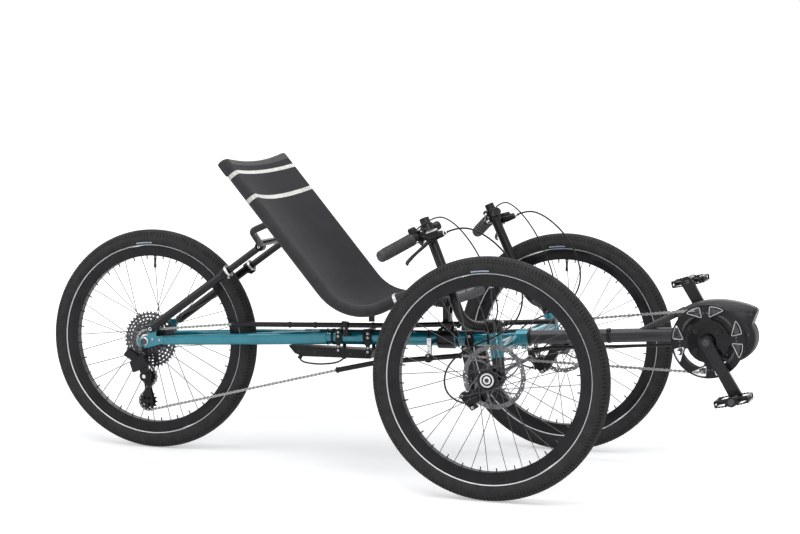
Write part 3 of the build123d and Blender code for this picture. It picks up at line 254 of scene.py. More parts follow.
# ---- mesh building -----------------------------------------------------------------
class Piece:
    """One object built up form by form; each call adds a closed form in the current tone."""

    def __init__(self, name, body, *materials):
        self.name, self.body, self.materials = name, body, materials
        self.bm = bmesh.new()
        self.tone = 0

    def tint(self, tone):
        self.tone = tone
        return self

    def shade(self, faces):
        for face in faces:
            face.material_index, face.smooth = self.tone, True

    def skin(self, rings, loop=False, closed=True, caps=True, tones=None):
        """Join consecutive rings of as many points each; tones gives each face's own tone."""
        rows = [[self.bm.verts.new(p) for p in ring] for ring in rings]
        count = len(rows[0])
        for k, (a, b) in enumerate(zip(rows, rows[1:] + rows[:loop])):
            for i in range(count if closed else count - 1):
                j = (i + 1) % count
                if tones:
                    self.tone = tones(k, i, j)
                self.shade([self.bm.faces.new((a[i], a[j], b[j], b[i]))])
        if caps and closed and not loop:
            self.shade([self.bm.faces.new(rows[0][::-1]), self.bm.faces.new(rows[-1])])
        return sum(rows, [])

    def lathe(self, centre, axis, outline, segs=64, full=True):
        """Revolve (along, radius) points about an axis; a ring, not full, joins its last to its first."""
        axis = axis.normalized()
        u = X if abs(axis.y) > 0.999 else axis.orthogonal().normalized()
        v = axis.cross(u)
        turns = [polar(1, 2 * pi * i / segs) for i in range(segs)]
        self.skin([[centre + axis * along + (u * c + v * s) * max(radius, 0.01) for c, s in turns]
                   for along, radius in outline], loop=not full)

    def rod(self, a, b, radius, ease=0.6, segs=24):
        """A bar with eased ends."""
        length = (b - a).length
        ease = min(ease, length / 3, radius / 2)
        end = [(0, radius - ease), (ease * 0.3, radius - ease * 0.3), (ease, radius)]
        self.lathe(a, b - a, end + [(length - along, r) for along, r in end[::-1]], segs)

    def pipe(self, points, radius, segs=12, flat=1.0, closed=False):
        """A round or flattened bar through a list of points; radius may be a list as long."""
        count = len(points)
        rings, normal = [], None
        for i, p in enumerate(points):
            ahead = points[(i + 1) % count] if closed else points[min(i + 1, count - 1)]
            behind = points[i - 1] if closed else points[max(i - 1, 0)]
            run = (ahead - behind).normalized()
            if normal is None:
                normal = run.orthogonal().normalized() if abs(run.y) > 0.95 else run.cross(AXLE).normalized()
            normal = (normal - run * normal.dot(run)).normalized()
            side = run.cross(normal) * flat
            size = radius[i] if isinstance(radius, list) else radius
            rings.append([p + (normal * cos(2 * pi * k / segs) + side * sin(2 * pi * k / segs)) * size
                          for k in range(segs)])
        self.skin(rings, loop=closed)

    def box(self, centre, size, x=X, z=Z, bevel=1.0, steps=2):
        """A box with rounded edges, its sides along x, z and their cross."""
        x = x.normalized()
        z = (z - x * z.dot(x)).normalized()
        turn = Matrix((x, z.cross(x), z)).transposed().to_4x4()
        place = Matrix.Translation(centre) @ turn @ Matrix.Diagonal((*size, 1))
        self.ease(bmesh.ops.create_cube(self.bm, size=1, matrix=place)["verts"], bevel, steps)

    def slab(self, outline, origin, thickness, bevel=0.8, steps=2, x=X, y=Z):
        """An outline in the plane of x and y, thickened along their cross."""
        x, y = x.normalized(), y.normalized()
        lift = x.cross(y) * thickness
        self.ease(self.skin([[origin + x * a + y * b + lift * k for a, b in outline] for k in (0, 1)]), bevel, steps)

    def ease(self, verts, bevel, steps):
        edges = dict.fromkeys(e for v in verts for e in v.link_edges)
        self.shade(dict.fromkeys(f for e in edges for f in e.link_faces))
        sharp = [e for e in edges if len(e.link_faces) == 2 and e.calc_face_angle(0) > 0.35]
        made = bmesh.ops.bevel(self.bm, geom=sharp, offset=bevel, segments=steps, affect="EDGES", clamp_overlap=True,
                               profile=0.5)
        self.shade(made["faces"])

    def plate(self, loops, origin, thickness, bevel, x=X, y=Z):
        """A flat sheet with holes: the first loop outside, the others cut out of it."""
        curve = bpy.data.curves.new("plate", "CURVE")
        curve.dimensions, curve.fill_mode = "2D", "BOTH"
        curve.extrude, curve.bevel_depth, curve.bevel_resolution = thickness / 2 - bevel, bevel, 1
        curve.offset = -bevel
        for loop in loops:
            spline = curve.splines.new("POLY")
            spline.points.add(len(loop) - 1)
            for point, (a, b) in zip(spline.points, loop):
                point.co = (a, b, 0, 1)
            spline.use_cyclic_u = True
        holder = bpy.data.objects.new("plate", curve)
        mesh = bpy.data.meshes.new_from_object(holder)
        z = x.cross(y)
        mesh.transform(Matrix.Translation(origin + z * thickness / 2) @ Matrix((x, y, z)).transposed().to_4x4())
        count = len(self.bm.faces)
        self.bm.from_mesh(mesh)
        self.bm.faces.ensure_lookup_table()
        self.shade(self.bm.faces[count:])
        bpy.data.objects.remove(holder)
        bpy.data.curves.remove(curve)
        bpy.data.meshes.remove(mesh)

    def bolt(self, spot, way, r=4.2, head=3.4, tones=(1, 2)):
        """A socket-head bolt standing on spot along way; the socket's floor takes the second, darker tone, painted
        shade in the recess.
        """
        self.tint(tones[0]).lathe(spot, way, [(-1.2, r), (head - 0.6, r), (head, r - 0.6), (head, r * 0.52)], 20,
                                  full=False)
        self.tint(tones[1]).lathe(spot, way, [(-1, r * 0.6), (head * 0.45, r * 0.55), (head * 0.45, 0)], 6)

    def done(self, replaces=None, sharp=32):
        bmesh.ops.transform(self.bm, matrix=METRES, verts=self.bm.verts)
        bmesh.ops.recalc_face_normals(self.bm, faces=self.bm.faces)
        for e in self.bm.edges:
            e.smooth = len(e.link_faces) == 2 and e.calc_face_angle(0) < radians(sharp)
        mesh = bpy.data.meshes.new(self.name)
        self.bm.to_mesh(mesh)
        self.bm.free()
        for material in self.materials:
            mesh.materials.append(material)
        settle(bpy.data.objects.new(self.name, mesh), self.body, replaces)


def settle(obj, body, replaces=None):
    bpy.context.collection.objects.link(obj)
    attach(obj, body)
    if replaces:
        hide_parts(replaces)


def circle(radius, segs=64, centre=(0, 0)):
    return [(centre[0] + radius * cos(2 * pi * i / segs), centre[1] + radius * sin(2 * pi * i / segs))
            for i in range(segs)]


def band(inner, outer, length, along, down):
    """Profile of a ring whose outer edges are eased."""
    return [(0, inner), (0, outer - down), (along, outer), (length - along, outer), (length, outer - down),
            (length, inner)]


def rounded(corners, radius, steps=3):
    """A closed outline with its corners rounded."""
    points = []
    for i, c in enumerate(corners):
        c, a, b = Vector(c), Vector(corners[i - 1]), Vector(corners[(i + 1) % len(corners)])
        back, ahead = a - c, b - c
        cut = min(radius, back.length / 2.1, ahead.length / 2.1)
        p, q = c + back.normalized() * cut, c + ahead.normalized() * cut
        for t in [k / steps for k in range(steps + 1)]:
            points.append(tuple(p * (1 - t) ** 2 + c * 2 * t * (1 - t) + q * t ** 2))
    return points


def gear(teeth, pitch_r, out=3.2, root=4.2, start=0.0):
    """The outline of a sprocket whose rollers sit at start and every tooth after it."""
    flank = ((-0.18, -root * 0.82), (0, -root), (0.18, -root * 0.82), (0.33, -0.2), (0.45, out), (0.55, out),
             (0.67, -0.2))
    return [polar(pitch_r + lift, start + 2 * pi / teeth * (i + part)) for i in range(teeth) for part, lift in flank]


# ---- wheels ------------------------------------------------------------------------
SECTION_R, SECTION_AT, RIM_IN = 27.5, 306.0, 254.0
WHEELS = {"right": at(0, -TRACK / 2, TYRE_R), "left": at(0, TRACK / 2, TYRE_R), "rear": at(-WHEELBASE, 0, TYRE_R)}
# the tread by zones outward from the crown: where a zone starts, its blocks' slant, shift and gap
ZONE_EDGES = (0.09, 0.44, 0.8)
ZONES = ((0, 0, 1.0), (3.0, 1, 1.5), (-2.4, 3, 1.5), (1.6, 5, 2.0))
TREAD_HALF = [0.05, 0.09, 0.13, 0.26, 0.4, 0.44, 0.48, 0.62, 0.76, 0.8, 0.84, 0.98, 1.12, 1.16]
TREAD_REPEATS, TREAD_STEPS = 190, 6


def on_tyre(centre, turn, phi, radius):
    """A point on the tyre: turn about the axle, phi round the section from the crown."""
    return around(centre, SECTION_AT + radius * cos(phi), turn, radius * sin(phi))


def tread_cut(phi, i):
    slant, shift, gap = ZONES[sum(abs(phi) >= edge for edge in ZONE_EDGES)]
    return abs(phi) in ZONE_EDGES or (i + slant * (abs(phi) - 0.44) / 0.36 + shift) % TREAD_STEPS < gap


def make_tyre(side, centre):
    tyre = Piece(f"tyre_{side}_tread", f"wheel_{side}", TYRE, STRIPE, PATCH, GROOVE_SHADE)
    stripe = [round(acos(-reach / SECTION_R), 4) for reach in (17.6, 20.2)]
    angles = [-stripe[1], -stripe[0]] + [0.3 * k for k in range(-6, 7)] + stripe
    tyre.skin([[on_tyre(centre, 2 * pi * i / 168, phi, SECTION_R - (0.7 if abs(phi) > 1.25 else 1.6))
                for i in range(168)] for phi in angles], caps=False,
              tones=lambda k, i, j: int(k in (0, len(angles) - 2)))
    columns = [-phi for phi in TREAD_HALF[::-1]] + TREAD_HALF
    steps = TREAD_REPEATS * TREAD_STEPS
    cuts = [[tread_cut(phi, i) for i in range(steps)] for phi in columns]
    # faces in the tread's cuts take the darker groove rubber, painted shade in the recesses
    tyre.skin([[on_tyre(centre, 2 * pi * i / steps, phi, SECTION_R - 1.5 * cut[i] - 1.6 * (abs(phi) > 1.13))
                for i in range(steps)] for phi, cut in zip(columns, cuts)], caps=False,
              tones=lambda k, i, j: 3 if cuts[k][i] + cuts[k][j] + cuts[k + 1][i] + cuts[k + 1][j] > 2 else 0)
    # a plain patch in a pale border, near the top of each side wall
    for y in (-1, 1):
        for tone, low, half, radius in ((1, 1.92, 0.085, 27.7), (2, 1.98, 0.078, 28.0)):
            tyre.tint(tone).skin([[on_tyre(centre, radians(95) + half * (k / 9 - 1), y * phi, radius)
                                   for k in range(19)]
                                  for phi in (low, (low + 2.06) / 2, 2.06)], closed=False)
    tyre.done(f"tyre_{side}", sharp=50)


def make_rim_details(side, centre):
    """Spoke nipples, the valve and its collar."""
    bits = Piece(f"rim_{side}_nipples", f"wheel_{side}", STEEL, RUBBER, DARK_STEEL)
    for k in range(32):
        turn, lift = 2 * pi * (k + 0.5) / 32, 5 if k % 2 else -5
        bits.tint(2).rod(around(centre, RIM_IN, turn, lift), around(centre, RIM_IN - 11, turn, lift * 1.1), 1.9,
                         segs=8)
    foot = centre + Z * RIM_IN
    for tone, a, b, radius in ((1, 0, 12, 4.2), (1, 12, 28, 3.4), (0, 3, 6, 5.8), (1, 26, 37, 4.1)):
        bits.tint(tone).rod(foot - Z * a, foot - Z * b, radius, segs=16)
    bits.done()


def spoke_eyes(hub, centre, flanges):
    for y in flanges:
        for k in range(16):
            spot = around(centre, 29, 2 * pi * (k + 0.5 * (y > 0)) / 16, y)
            lead = AXLE if k % 2 else -AXLE
            hub.tint(2).rod(spot - lead * 3.1, spot + lead * 0.4, 1.9, segs=10)


def make_front_hub(side, centre, s):
    hub = Piece(f"hub_{side}_cap", f"wheel_{side}", SILVER, ANODISED, DARK_STEEL)
    for tone, segs, full, outline in (
            (0, 64, False, [(24.5, 19.7), (28.5, 19.9), (30.2, 19.2), (30.4, 15.5), (29.2, 14.8), (24.5, 14.8)]),
            (1, 48, True, [(29, 14.8), (29.2, 14.2), (29.5, 11.8), (28.5, 11.2)]),
            (0, 48, False, [(28.8, 10.8), (30.6, 10.6), (31.2, 9.8), (31.4, 6.2), (30, 5.6), (28.8, 5.6)]),
            (2, 24, True, [(29, 5.6), (31.6, 5.2), (32.4, 4.4), (32.6, 2.6), (30.6, 2.2), (30.6, 0)]),
            (1, 48, False, [(-21, 15.2), (-19, 16.2), (-6, 16.6), (6, 16.6), (18, 16.2), (20, 15.2)])):
        hub.tint(tone).lathe(centre, AXLE * s, outline, segs, full)
    spoke_eyes(hub, centre, (-24 * s, 22 * s))
    hub.done()


def make_rear_hub(centre):
    hub = Piece("hub_rear_details", "wheel_rear", ANODISED, SILVER, DARK_STEEL)
    hub.lathe(centre, AXLE, [(-19, 20.3), (-14, 21.2), (0, 21.6), (22, 21.2), (29, 20.3)], 48, full=False)
    hub.tint(1).lathe(centre, AXLE, [(33.5, 14.2), (40, 15), (52, 15), (58, 14.2)], 48, full=False)
    spoke_eyes(hub, centre, (-22, 32))
    hub.done()


def make_rotor(side, centre, s):
    """Brake disc: a waved band with three rows of holes, swept arms between windows, and its bolts."""
    rotor = Piece(f"rotor_{side}_drilled", f"wheel_{side}", ROTOR, ANODISED, STEEL)
    plane = centre - AXLE * s * 43
    loops = [[polar(89.3 - 0.6 * (1 - cos(18 * turn)), turn) for turn in [2 * pi * i / 288 for i in range(288)]],
             circle(22.5, 48)]
    for base in range(0, 360, 60):
        low, high = [], []
        for r in (36, 43, 50, 57, 64, 70, 76):
            swept, half_arm = base + 26 * (r - 36) / 40, degrees(2.4 / r)
            low.append((r, swept + half_arm))
            high.append((r, swept + 60 - half_arm))
        start, span = low[-1][1], high[-1][1] - low[-1][1]
        window = low + [(76, start + span * t / 6) for t in range(1, 6)] + high[::-1]
        loops.append([polar(r, radians(turn)) for r, turn in window])
    loops += [circle(1.8, 10, polar((79.2, 82.2, 85.0)[k % 3], 2 * pi * k / 54)) for k in range(54)]
    rotor.plate(loops, plane - AXLE * (1 + s), 1.9, 0.2)
    for k in range(6):
        spot = around(plane, 30, 2 * pi * k / 6 + 0.12)
        rotor.tint(2).rod(spot - AXLE * s * 3.2, spot + AXLE * s * 0.2, 3.4, segs=12)
    rotor.done(f"rotor_{side}")


for side, s in (*SIDES, ("rear", 0)):
    make_tyre(side, WHEELS[side])
    make_rim_details(side, WHEELS[side])
    if s:
        make_front_hub(side, WHEELS[side], s)
        make_rotor(side, WHEELS[side], s)
make_rear_hub(WHEELS["rear"])

# ---- drive -------------------------------------------------------------------------
COGS = (42, 37, 32, 28, 24, 22, 20, 18, 16, 14, 12)
COG_Y, COG_STEP = -29.0, 3.3
CHAIN_Y = COG_Y - COG_STEP * COGS.index(16) - 0.9
PITCH = 12.7
RING, COG, GUIDE, TENSION = (525.0, 419.5), (-WHEELBASE, TYRE_R), (-1176.0, 224.0), (-1178.0, 150.0)
RING_TEETH, COG_TEETH, GUIDE_TEETH, TENSION_TEETH = 44, 16, 12, 14
UPPER_RUN = ((87, 454), (-379, 419), (-905, 397))
LOWER_RUN = ((-572, 277), (-451, 306), (-190, 341))
CRANK = at(RING[0], 0, RING[1])
CRANK_WAY = at(cos(radians(-58.7)), 0, sin(radians(-58.7)))     # of the right arm
# the guard's arms, and its windows as radius and degrees from the arm beside them
GUARD_ARMS = (7, 97, 187, 277)
RIM_WINDOW = ((68, 8.8), (98, 8.4), (99, 20), (98.5, 32.5))
HUB_WINDOW = ((60.5, 14), (68, 14.5), (80, 28), (83, 36), (84, 45), (83, 54), (80, 62), (68, 75.5), (60.5, 76),
              (60.5, 60), (60.5, 45), (60.5, 30))


def pitch_r(teeth):
    return PITCH / 2 / sin(pi / teeth)


def tangent(a, ra, b, rb):
    """Ends of the line that leaves circle a and meets circle b; a clockwise wrap is negative."""
    run = Vector((b[0] - a[0], b[1] - a[1]))
    heading = atan2(run.y, run.x) - asin((rb - ra) / run.length)
    away = (sin(heading), -cos(heading))
    return (a[0] + away[0] * ra, a[1] + away[1] * ra), (b[0] + away[0] * rb, b[1] + away[1] * rb)


def chain_path():
    """Pieces of the chain's closed path: a length and a function of the distance along it."""
    stops = [(RING, pitch_r(RING_TEETH))] + [(p, 0) for p in UPPER_RUN] + [(COG, pitch_r(COG_TEETH))]
    stops += [(GUIDE, -pitch_r(GUIDE_TEETH)), (TENSION, pitch_r(TENSION_TEETH))] + [(p, 0) for p in LOWER_RUN]
    stops += [stops[0]]
    runs = [tangent(a, ra, b, rb) for (a, ra), (b, rb) in zip(stops, stops[1:])]
    parts = []
    for k, (start, end) in enumerate(runs):
        span = Vector(end) - Vector(start)
        parts.append((span.length, lambda d, p=start, u=span.normalized(): (p[0] + u.x * d, p[1] + u.y * d)))
        centre, r = stops[k + 1]
        leave = runs[(k + 1) % len(runs)][0]
        if r:
            first = atan2(end[1] - centre[1], end[0] - centre[0])
            turn = (atan2(leave[1] - centre[1], leave[0] - centre[0]) - first) % (2 * pi) - (2 * pi if r < 0 else 0)
            parts.append((abs(r * turn), lambda d, c=centre, r=r, f=first:
                          (c[0] + abs(r) * cos(f + d / r), c[1] + abs(r) * sin(f + d / r))))
    return parts


PATH = chain_path()
PATH_LENGTH = sum(length for length, f in PATH)
LINKS = 2 * round(PATH_LENGTH / PITCH / 2)


def pin(k):
    """Where the chain's pin of this number is, from the side."""
    distance = k * PATH_LENGTH / LINKS % PATH_LENGTH
    for length, f in PATH:
        if distance <= length:
            return f(distance)
        distance -= length
    return PATH[-1][1](PATH[-1][0])


def from_centre(k, centre):
    return (Vector(pin(k)) - Vector(centre)).length


def teeth_start(centre, teeth):
    """The angle of a roller on this sprocket, from the chain's own pins."""
    near = [k for k in range(LINKS) if abs(from_centre(k, centre) - pitch_r(teeth)) < 0.01]
    x, z = pin(near[len(near) // 2])
    return atan2(z - centre[1], x - centre[0])


def make_chain():
    chain = Piece("chain_links", "chassis", CHAIN, DARK_STEEL)
    for k in range(LINKS):
        a, b = Vector(pin(k)), Vector(pin(k + 1))
        run = (b - a).normalized()
        across = Vector((-run.y, run.x))
        waist, low, high = ((2.3, 1.15, 1.62), (1.9, 1.68, 2.2))[k % 2]
        outline = []
        for centre, way in ((a, -1), (b, 1)):
            for t in range(-100, 101, 40):
                c, s = polar(4.3 * way, radians(t))
                outline.append(centre + run * c + across * s)
            outline.append((a + b) / 2 + across * way * waist)
        for side in (-1, 1):
            # links wrapped on the chainring take the darker steel, painted shade behind the guard
            chain.tint(int(from_centre(k, RING) < pitch_r(RING_TEETH) + 2))
            chain.skin([[at(p.x, CHAIN_Y + side * y, p.y) for p in outline] for y in (low, high)])
        for half, radius, segs in ((2.4, 1.6, 8), (1.1, 3.7, 10)):
            chain.tint(1).lathe(at(a.x, CHAIN_Y, a.y), AXLE, [(-half, radius), (half, radius)], segs)
    chain.done("chain")


def make_cassette():
    """Sprockets in steps, each a toothed plate; the larger ones are cut out round their arms."""
    cassette = Piece("cassette_cogs", "wheel_rear", DARK_STEEL, ANODISED, STEEL)
    centre = WHEELS["rear"]
    phase = teeth_start(COG, COG_TEETH)
    hub, wall = 21, 2.4
    for i, teeth in enumerate(COGS):
        r = pitch_r(teeth)
        top = r - 9.5
        loops = [gear(teeth, r, start=phase if teeth == COG_TEETH else 0.07 * i), circle(13.9, 40)]
        windows = (7, 7, 7, 6, 6)[i] if i < 5 else 0
        for k in range(windows):
            base, half = 2 * pi * k / windows + 0.12 * i, pi / windows
            window = [polar(top, base + t * (half - wall / top)) for t in (-1, -0.5, 0, 0.5, 1)]
            window += [polar(hub, base + 0.5 + t * (half - wall / hub)) for t in (0.75, 0, -0.75)]
            loops.append(rounded(window, 2.5, 2))
        face = centre + AXLE * (COG_Y - COG_STEP * i)
        cassette.tint(0).plate(loops, face, 1.8, 0.2)
        if i:
            cassette.tint(1).lathe(face + AXLE * 1.5, AXLE, [(0, 13.9), (0, 18.5), (-1.6, 18.5), (-1.6, 13.9)], 32,
                                   False)
    cassette.tint(2).lathe(centre - AXLE * 63.8, AXLE, [(0, 13.9), (0, 20.5), (-1.2, 20.5), (-2.4, 18.5),
                                                        (-2.4, 13.9)], 48, False)
    cassette.done("cassette")


def make_chainring():
    """Guard plate with four arms and eight silver-edged windows, and the toothed ring behind."""
    ring = Piece("chainring_guard", "crankset", ANODISED, SILVER, DARK_STEEL)
    face = CHAIN_Y - 3.4
    windows = [rounded([polar(r, radians(arm + way * turn)) for r, turn in RIM_WINDOW], 5, 4)
               for arm in GUARD_ARMS for way in (-1, 1)]
    gaps = [rounded([polar(r, radians(arm + turn)) for r, turn in HUB_WINDOW], 3) for arm in GUARD_ARMS]
    ring.plate([circle(103.8, 160)] + gaps + windows + [circle(27.5, 40)], CRANK + AXLE * face, 3, 0.6)
    for window in windows:
        ring.tint(1).pipe([CRANK + at(a, face - 3, b) for a, b in window], 1.1, 6, closed=True)
    ring.tint(2).plate([gear(RING_TEETH, pitch_r(RING_TEETH), start=teeth_start(RING, RING_TEETH)), circle(75.5, 90)],
                       CRANK + AXLE * (CHAIN_Y + 0.9), 1.8, 0.2)
    for turn in [radians(arm + way * 4) for arm in GUARD_ARMS for way in (-1, 1)]:
        ring.rod(around(CRANK, 80, turn, face - 3.9), around(CRANK, 80, turn, CHAIN_Y + 1), 3.6, segs=16)
    ring.tint(0).lathe(CRANK + AXLE * face, AXLE, [(-4.6, 23), (-4.6, 30), (-3.6, 32.5), (-3.1, 56), (-2.7, 58),
                                                   (1, 58), (1, 23)], 72, full=False)
    for k in range(4):
        ring.lathe(around(CRANK, 44, radians(45 + 90 * k), face - 3.2), -AXLE,
                   [(0, 12.5), (1.2, 12.2), (1.6, 11), (1, 10), (0.8, 0)], 32)
    ring.done("chainring")


def make_cranks():
    cranks = Piece("crank_arms", "crankset", BLACK, SILVER, DARK_STEEL)
    cranks.tint(2).rod(CRANK - AXLE * 94.2, CRANK + AXLE * 94.2, 10.6, segs=32)
    edge = ((-4.5, 17), (12, 16.6), (50, 16), (100, 16), (150, 16.8), (174, 17.2))
    ends = [polar(1, pi * k / 6) for k in range(1, 6)]
    outline = [(a, -half) for a, half in edge] + [(174 + 15.5 * s, -17.2 * c) for c, s in ends] + list(edge[::-1])
    outline += [(-10 - 7 * s, 17 * c) for c, s in ends]
    for side, s in SIDES:
        u, out = CRANK_WAY * -s, AXLE * s
        tip, face = CRANK + u * 172.5, CRANK + out * 95.5
        cranks.tint(0).slab(outline, CRANK + AXLE * (80.5 if s > 0 else -95.5), 15, 2.2, 3, u, AXLE.cross(u))
        cranks.tint(2).lathe(face, out, [(-1, 10.5), (0.6, 10.3), (0.8, 9.2), (0.1, 8.8), (0.1, 0)], 32)
        cranks.lathe(face, out, [(-1, 6.2), (1.4, 6), (2.2, 4.8), (2.2, 2.6), (0.6, 2.2), (0.6, 0)], 24)
        cranks.rod(tip + out * 81, tip + out * 175, 6.8)
        cranks.rod(tip + out * 79.5, tip + out * 82.5, 8.2, segs=6)
        # the boss on the arm's inner side
        cranks.tint(0).lathe(CRANK + out * 80.5, out, [(0, 18.5), (-4, 18), (-5.2, 16.5), (-5.2, 11)], 32)
    cranks.rod(CRANK - AXLE * 80.5, CRANK - AXLE * 66, 19.5, segs=32)
    cranks.done("cranks")


def make_pedal(side, s):
    """A cage pedal: barrel, two toothed cage plates, cross bars and pins."""
    pedal = Piece(f"pedal_{side}_cage", f"pedal_{side}", ANODISED, SILVER, DARK_STEEL)
    u, w, out = at(cos(radians(13)), 0, sin(radians(13))), at(-sin(radians(13)), 0, cos(radians(13))), AXLE * s
    root = CRANK - CRANK_WAY * s * 172.5 + out * 97.5
    pedal.lathe(root, out, [(0, 7.1), (0, 9.8), (4, 11.2), (12, 10.8), (30, 9.8), (55, 9.8), (74, 11.2), (83, 14.5),
                            (86.2, 14.2), (87.2, 12.8), (87.2, 0)], 32)
    pedal.tint(2).lathe(root + out * 87.2, out, [(-1, 9.5), (0.2, 9.3), (0.6, 8), (0.1, 7.4), (0.1, 0)], 24)
    # side plates with a toothed edge above and below
    edge = []
    for k in range(23):
        a = -48 + 96 * k / 22
        edge.append((a, 11.8 - 2 * (abs(a) / 48) ** 3 - (0 if k % 2 else 1.8)))
    outline = edge + [(49, 2), (47.5, -6)] + [(a, -b) for a, b in edge[::-1]] + [(-47.5, 6), (-49, -2)]
    hole = [(18, 6.8), (43, 6), (44.5, -1.5), (30, -7), (18, -7)]
    holes = [rounded(hole, 3), rounded([(-a, -b) for a, b in (hole[4], hole[3], hole[2], hole[1], hole[0])], 3)]
    for lateral in (3, 80):
        pedal.tint(0).plate([outline[::-1]] + holes, root + out * lateral - AXLE * 1.5, 3, 0.5, u, w)
    # front and rear bars, the arms between, and the pins
    for way in (-1, 1):
        bar = root + u * way * 45.5
        for lift in (-6.2, 6.2):
            pedal.tint(0).box(bar + w * lift + out * 41.5, (4, 78, 4.2), u, w, 0.9)
        for lateral in (20, 41, 62):
            pedal.box(root + out * lateral + u * way * 26.5, (36, 4.5, 8.5), u, w, 1)
        for lateral in (12, 30, 52, 71):
            for lift in (-w, w):
                pedal.tint(1).rod(bar + out * lateral + lift * 8, bar + out * lateral + lift * 12.2, 1.3, segs=8)
    pedal.done(f"pedal_{side}")


def make_derailleur():
    """Mechanism, cage plates and two toothed pulleys."""
    mech = Piece("derailleur_body", "chassis", PLASTIC, ANODISED, DARK_STEEL, SILVER)
    for place, teeth in ((GUIDE, GUIDE_TEETH), (TENSION, TENSION_TEETH)):
        spot, r = at(place[0], CHAIN_Y, place[1]), pitch_r(teeth)
        loops = [gear(teeth, r, out=2.8, start=teeth_start(place, teeth)), circle(5.2, 20)]
        loops += [circle(4.2, 12, polar(r - 10.5, 2 * pi * k / 5)) for k in range(5)]
        mech.tint(0).plate(loops, spot - AXLE * 0.9, 1.8, 0.3)
        mech.tint(3).rod(spot - AXLE * 8.8, spot + AXLE * 8.5, 4.2, segs=16)
    # cage plates: a waisted outline round both pulleys
    span = Vector(TENSION) - Vector(GUIDE)
    u, length = span.normalized(), span.length
    outline = [polar(16.5, radians(t)) for t in range(90, 271, 20)] + [(22, -10.5), (36, -8.5), (52, -13.5)]
    for a, b in [polar(20.5, radians(t)) for t in range(-90, 91, 20)]:
        outline.append((length + a, b))
    outline += [(50, 13.5), (36, 8.5), (22, 10.5)]
    holes = [circle(4, 16, (30, 0))]
    for a, b in [polar(11.5, radians(t)) for t in (40, 140, 220, 320)]:
        holes.append(circle(4.5, 12, (length + a, b)))
    for face, thick in ((CHAIN_Y - 8.2, 2.2), (CHAIN_Y + 6, 2)):
        mech.tint(1).plate([outline] + holes, at(GUIDE[0], face, GUIDE[1]), thick, 0.4, at(u.x, 0, u.y),
                           at(-u.y, 0, u.x))
    # knuckle over the guide pulley
    hub = at(GUIDE[0] - 2, CHAIN_Y, GUIDE[1] + 4)
    mech.lathe(hub - AXLE * 8.5, -AXLE, [(0, 16.5), (10, 17.5), (18, 17.2), (23, 15), (24.5, 11.5), (24.5, 0)], 40)
    mech.tint(3).lathe(hub - AXLE * 33, -AXLE, [(0, 5.8), (0.8, 5.6), (1.2, 4.5), (0.6, 3), (0.6, 0)], 24)
    # motor block and links up to the hanger
    for tone, spot, run, thick, bevel, radius, outline in (
            (0, (-1196, -10, 268), (0.86, 0.5), 26, 3, 6, [(-30, -18), (22, -20), (26, 10), (10, 20), (-24, 16)]),
            (0, (-1222, -12, 291), (0.86, -0.5), 22, 2, 4, [(-20, -12), (18, -13), (20, 10), (-18, 13)]),
            (1, (-1186, -12, 262), (0.96, 0.27), 18, 2, 5, [(-11, -40), (11, -40), (13, 10), (-13, 10)])):
        mech.tint(tone).slab(rounded(outline, radius, 4), at(spot[0], CHAIN_Y + spot[1], spot[2]), thick, bevel, 3,
                             at(run[0], 0, run[1]), at(-run[1], 0, run[0]))
    mech.tint(2).rod(at(-1192, CHAIN_Y - 26, 302), at(-1192, -78.4, 316), 8.5)
    mech.rod(at(-1192, -88, 309), at(-1192, -79, 309), 7.8)
    mech.done("derailleur")


make_chain()
make_cassette()
make_chainring()
make_cranks()
for side, s in SIDES:
    make_pedal(side, s)
make_derailleur()


# ---- seat --------------------------------------------------------------------------
RAIL_R, WRAP_R, CLOTH_T = 14.0, 15.7, 2.2
RAIL = (at(-858, 222, 882), at(-479, 222, 438), at(-298, 214, 530), at(-205, 177, 508))
SAG = ((0, 4), (0.02, 6), (0.12, 16), (0.25, 26), (0.38, 30), (0.5, 30), (0.6, 28), (0.7, 26), (0.8, 22),
       (0.88, 12), (0.94, 5), (1, 2))
BAND_ROWS = ((33, 47), (121, 135))


def filleted(corners, radii, step=5.0):
    """Points along straight runs joined by arcs."""
    points = [corners[0]]
    for a, c, b, r in zip(corners, corners[1:], corners[2:], radii):
        u, v = (a - c).normalized(), (b - c).normalized()
        half = u.angle(v) / 2
        turn = pi - 2 * half
        centre = c + (u + v).normalized() * r / sin(half)
        start, end = c + u * r / tan(half) - centre, c + v * r / tan(half) - centre
        count = max(3, ceil(r * turn / step))
        for t in [k / count for k in range(count + 1)]:
            points.append(centre + (start * sin((1 - t) * turn) + end * sin(t * turn)) / sin(turn))
    return points + [corners[-1]]


RAIL_LINE = filleted(RAIL, (150, 60))
RAIL_AT = [0.0]
for a, b in zip(RAIL_LINE, RAIL_LINE[1:]):
    RAIL_AT.append(RAIL_AT[-1] + (b - a).length)
RAIL_LENGTH = RAIL_AT[-1]


def on_rail(distance):
    """A place on the left rail, also past its ends, and the rail's direction there from the side."""
    k = max(0, min(len(RAIL_LINE) - 2, sum(1 for value in RAIL_AT[1:-1] if value <= distance)))
    run = RAIL_LINE[k + 1] - RAIL_LINE[k]
    return RAIL_LINE[k] + run * (distance - RAIL_AT[k]) / run.length, at(run.x, 0, run.z).normalized()


def sag_at(share):
    for (a, low), (b, high) in zip(SAG, SAG[1:]):
        if share <= b:
            return low + (high - low) * max(0.0, share - a) / (b - a)
    return SAG[-1][1]


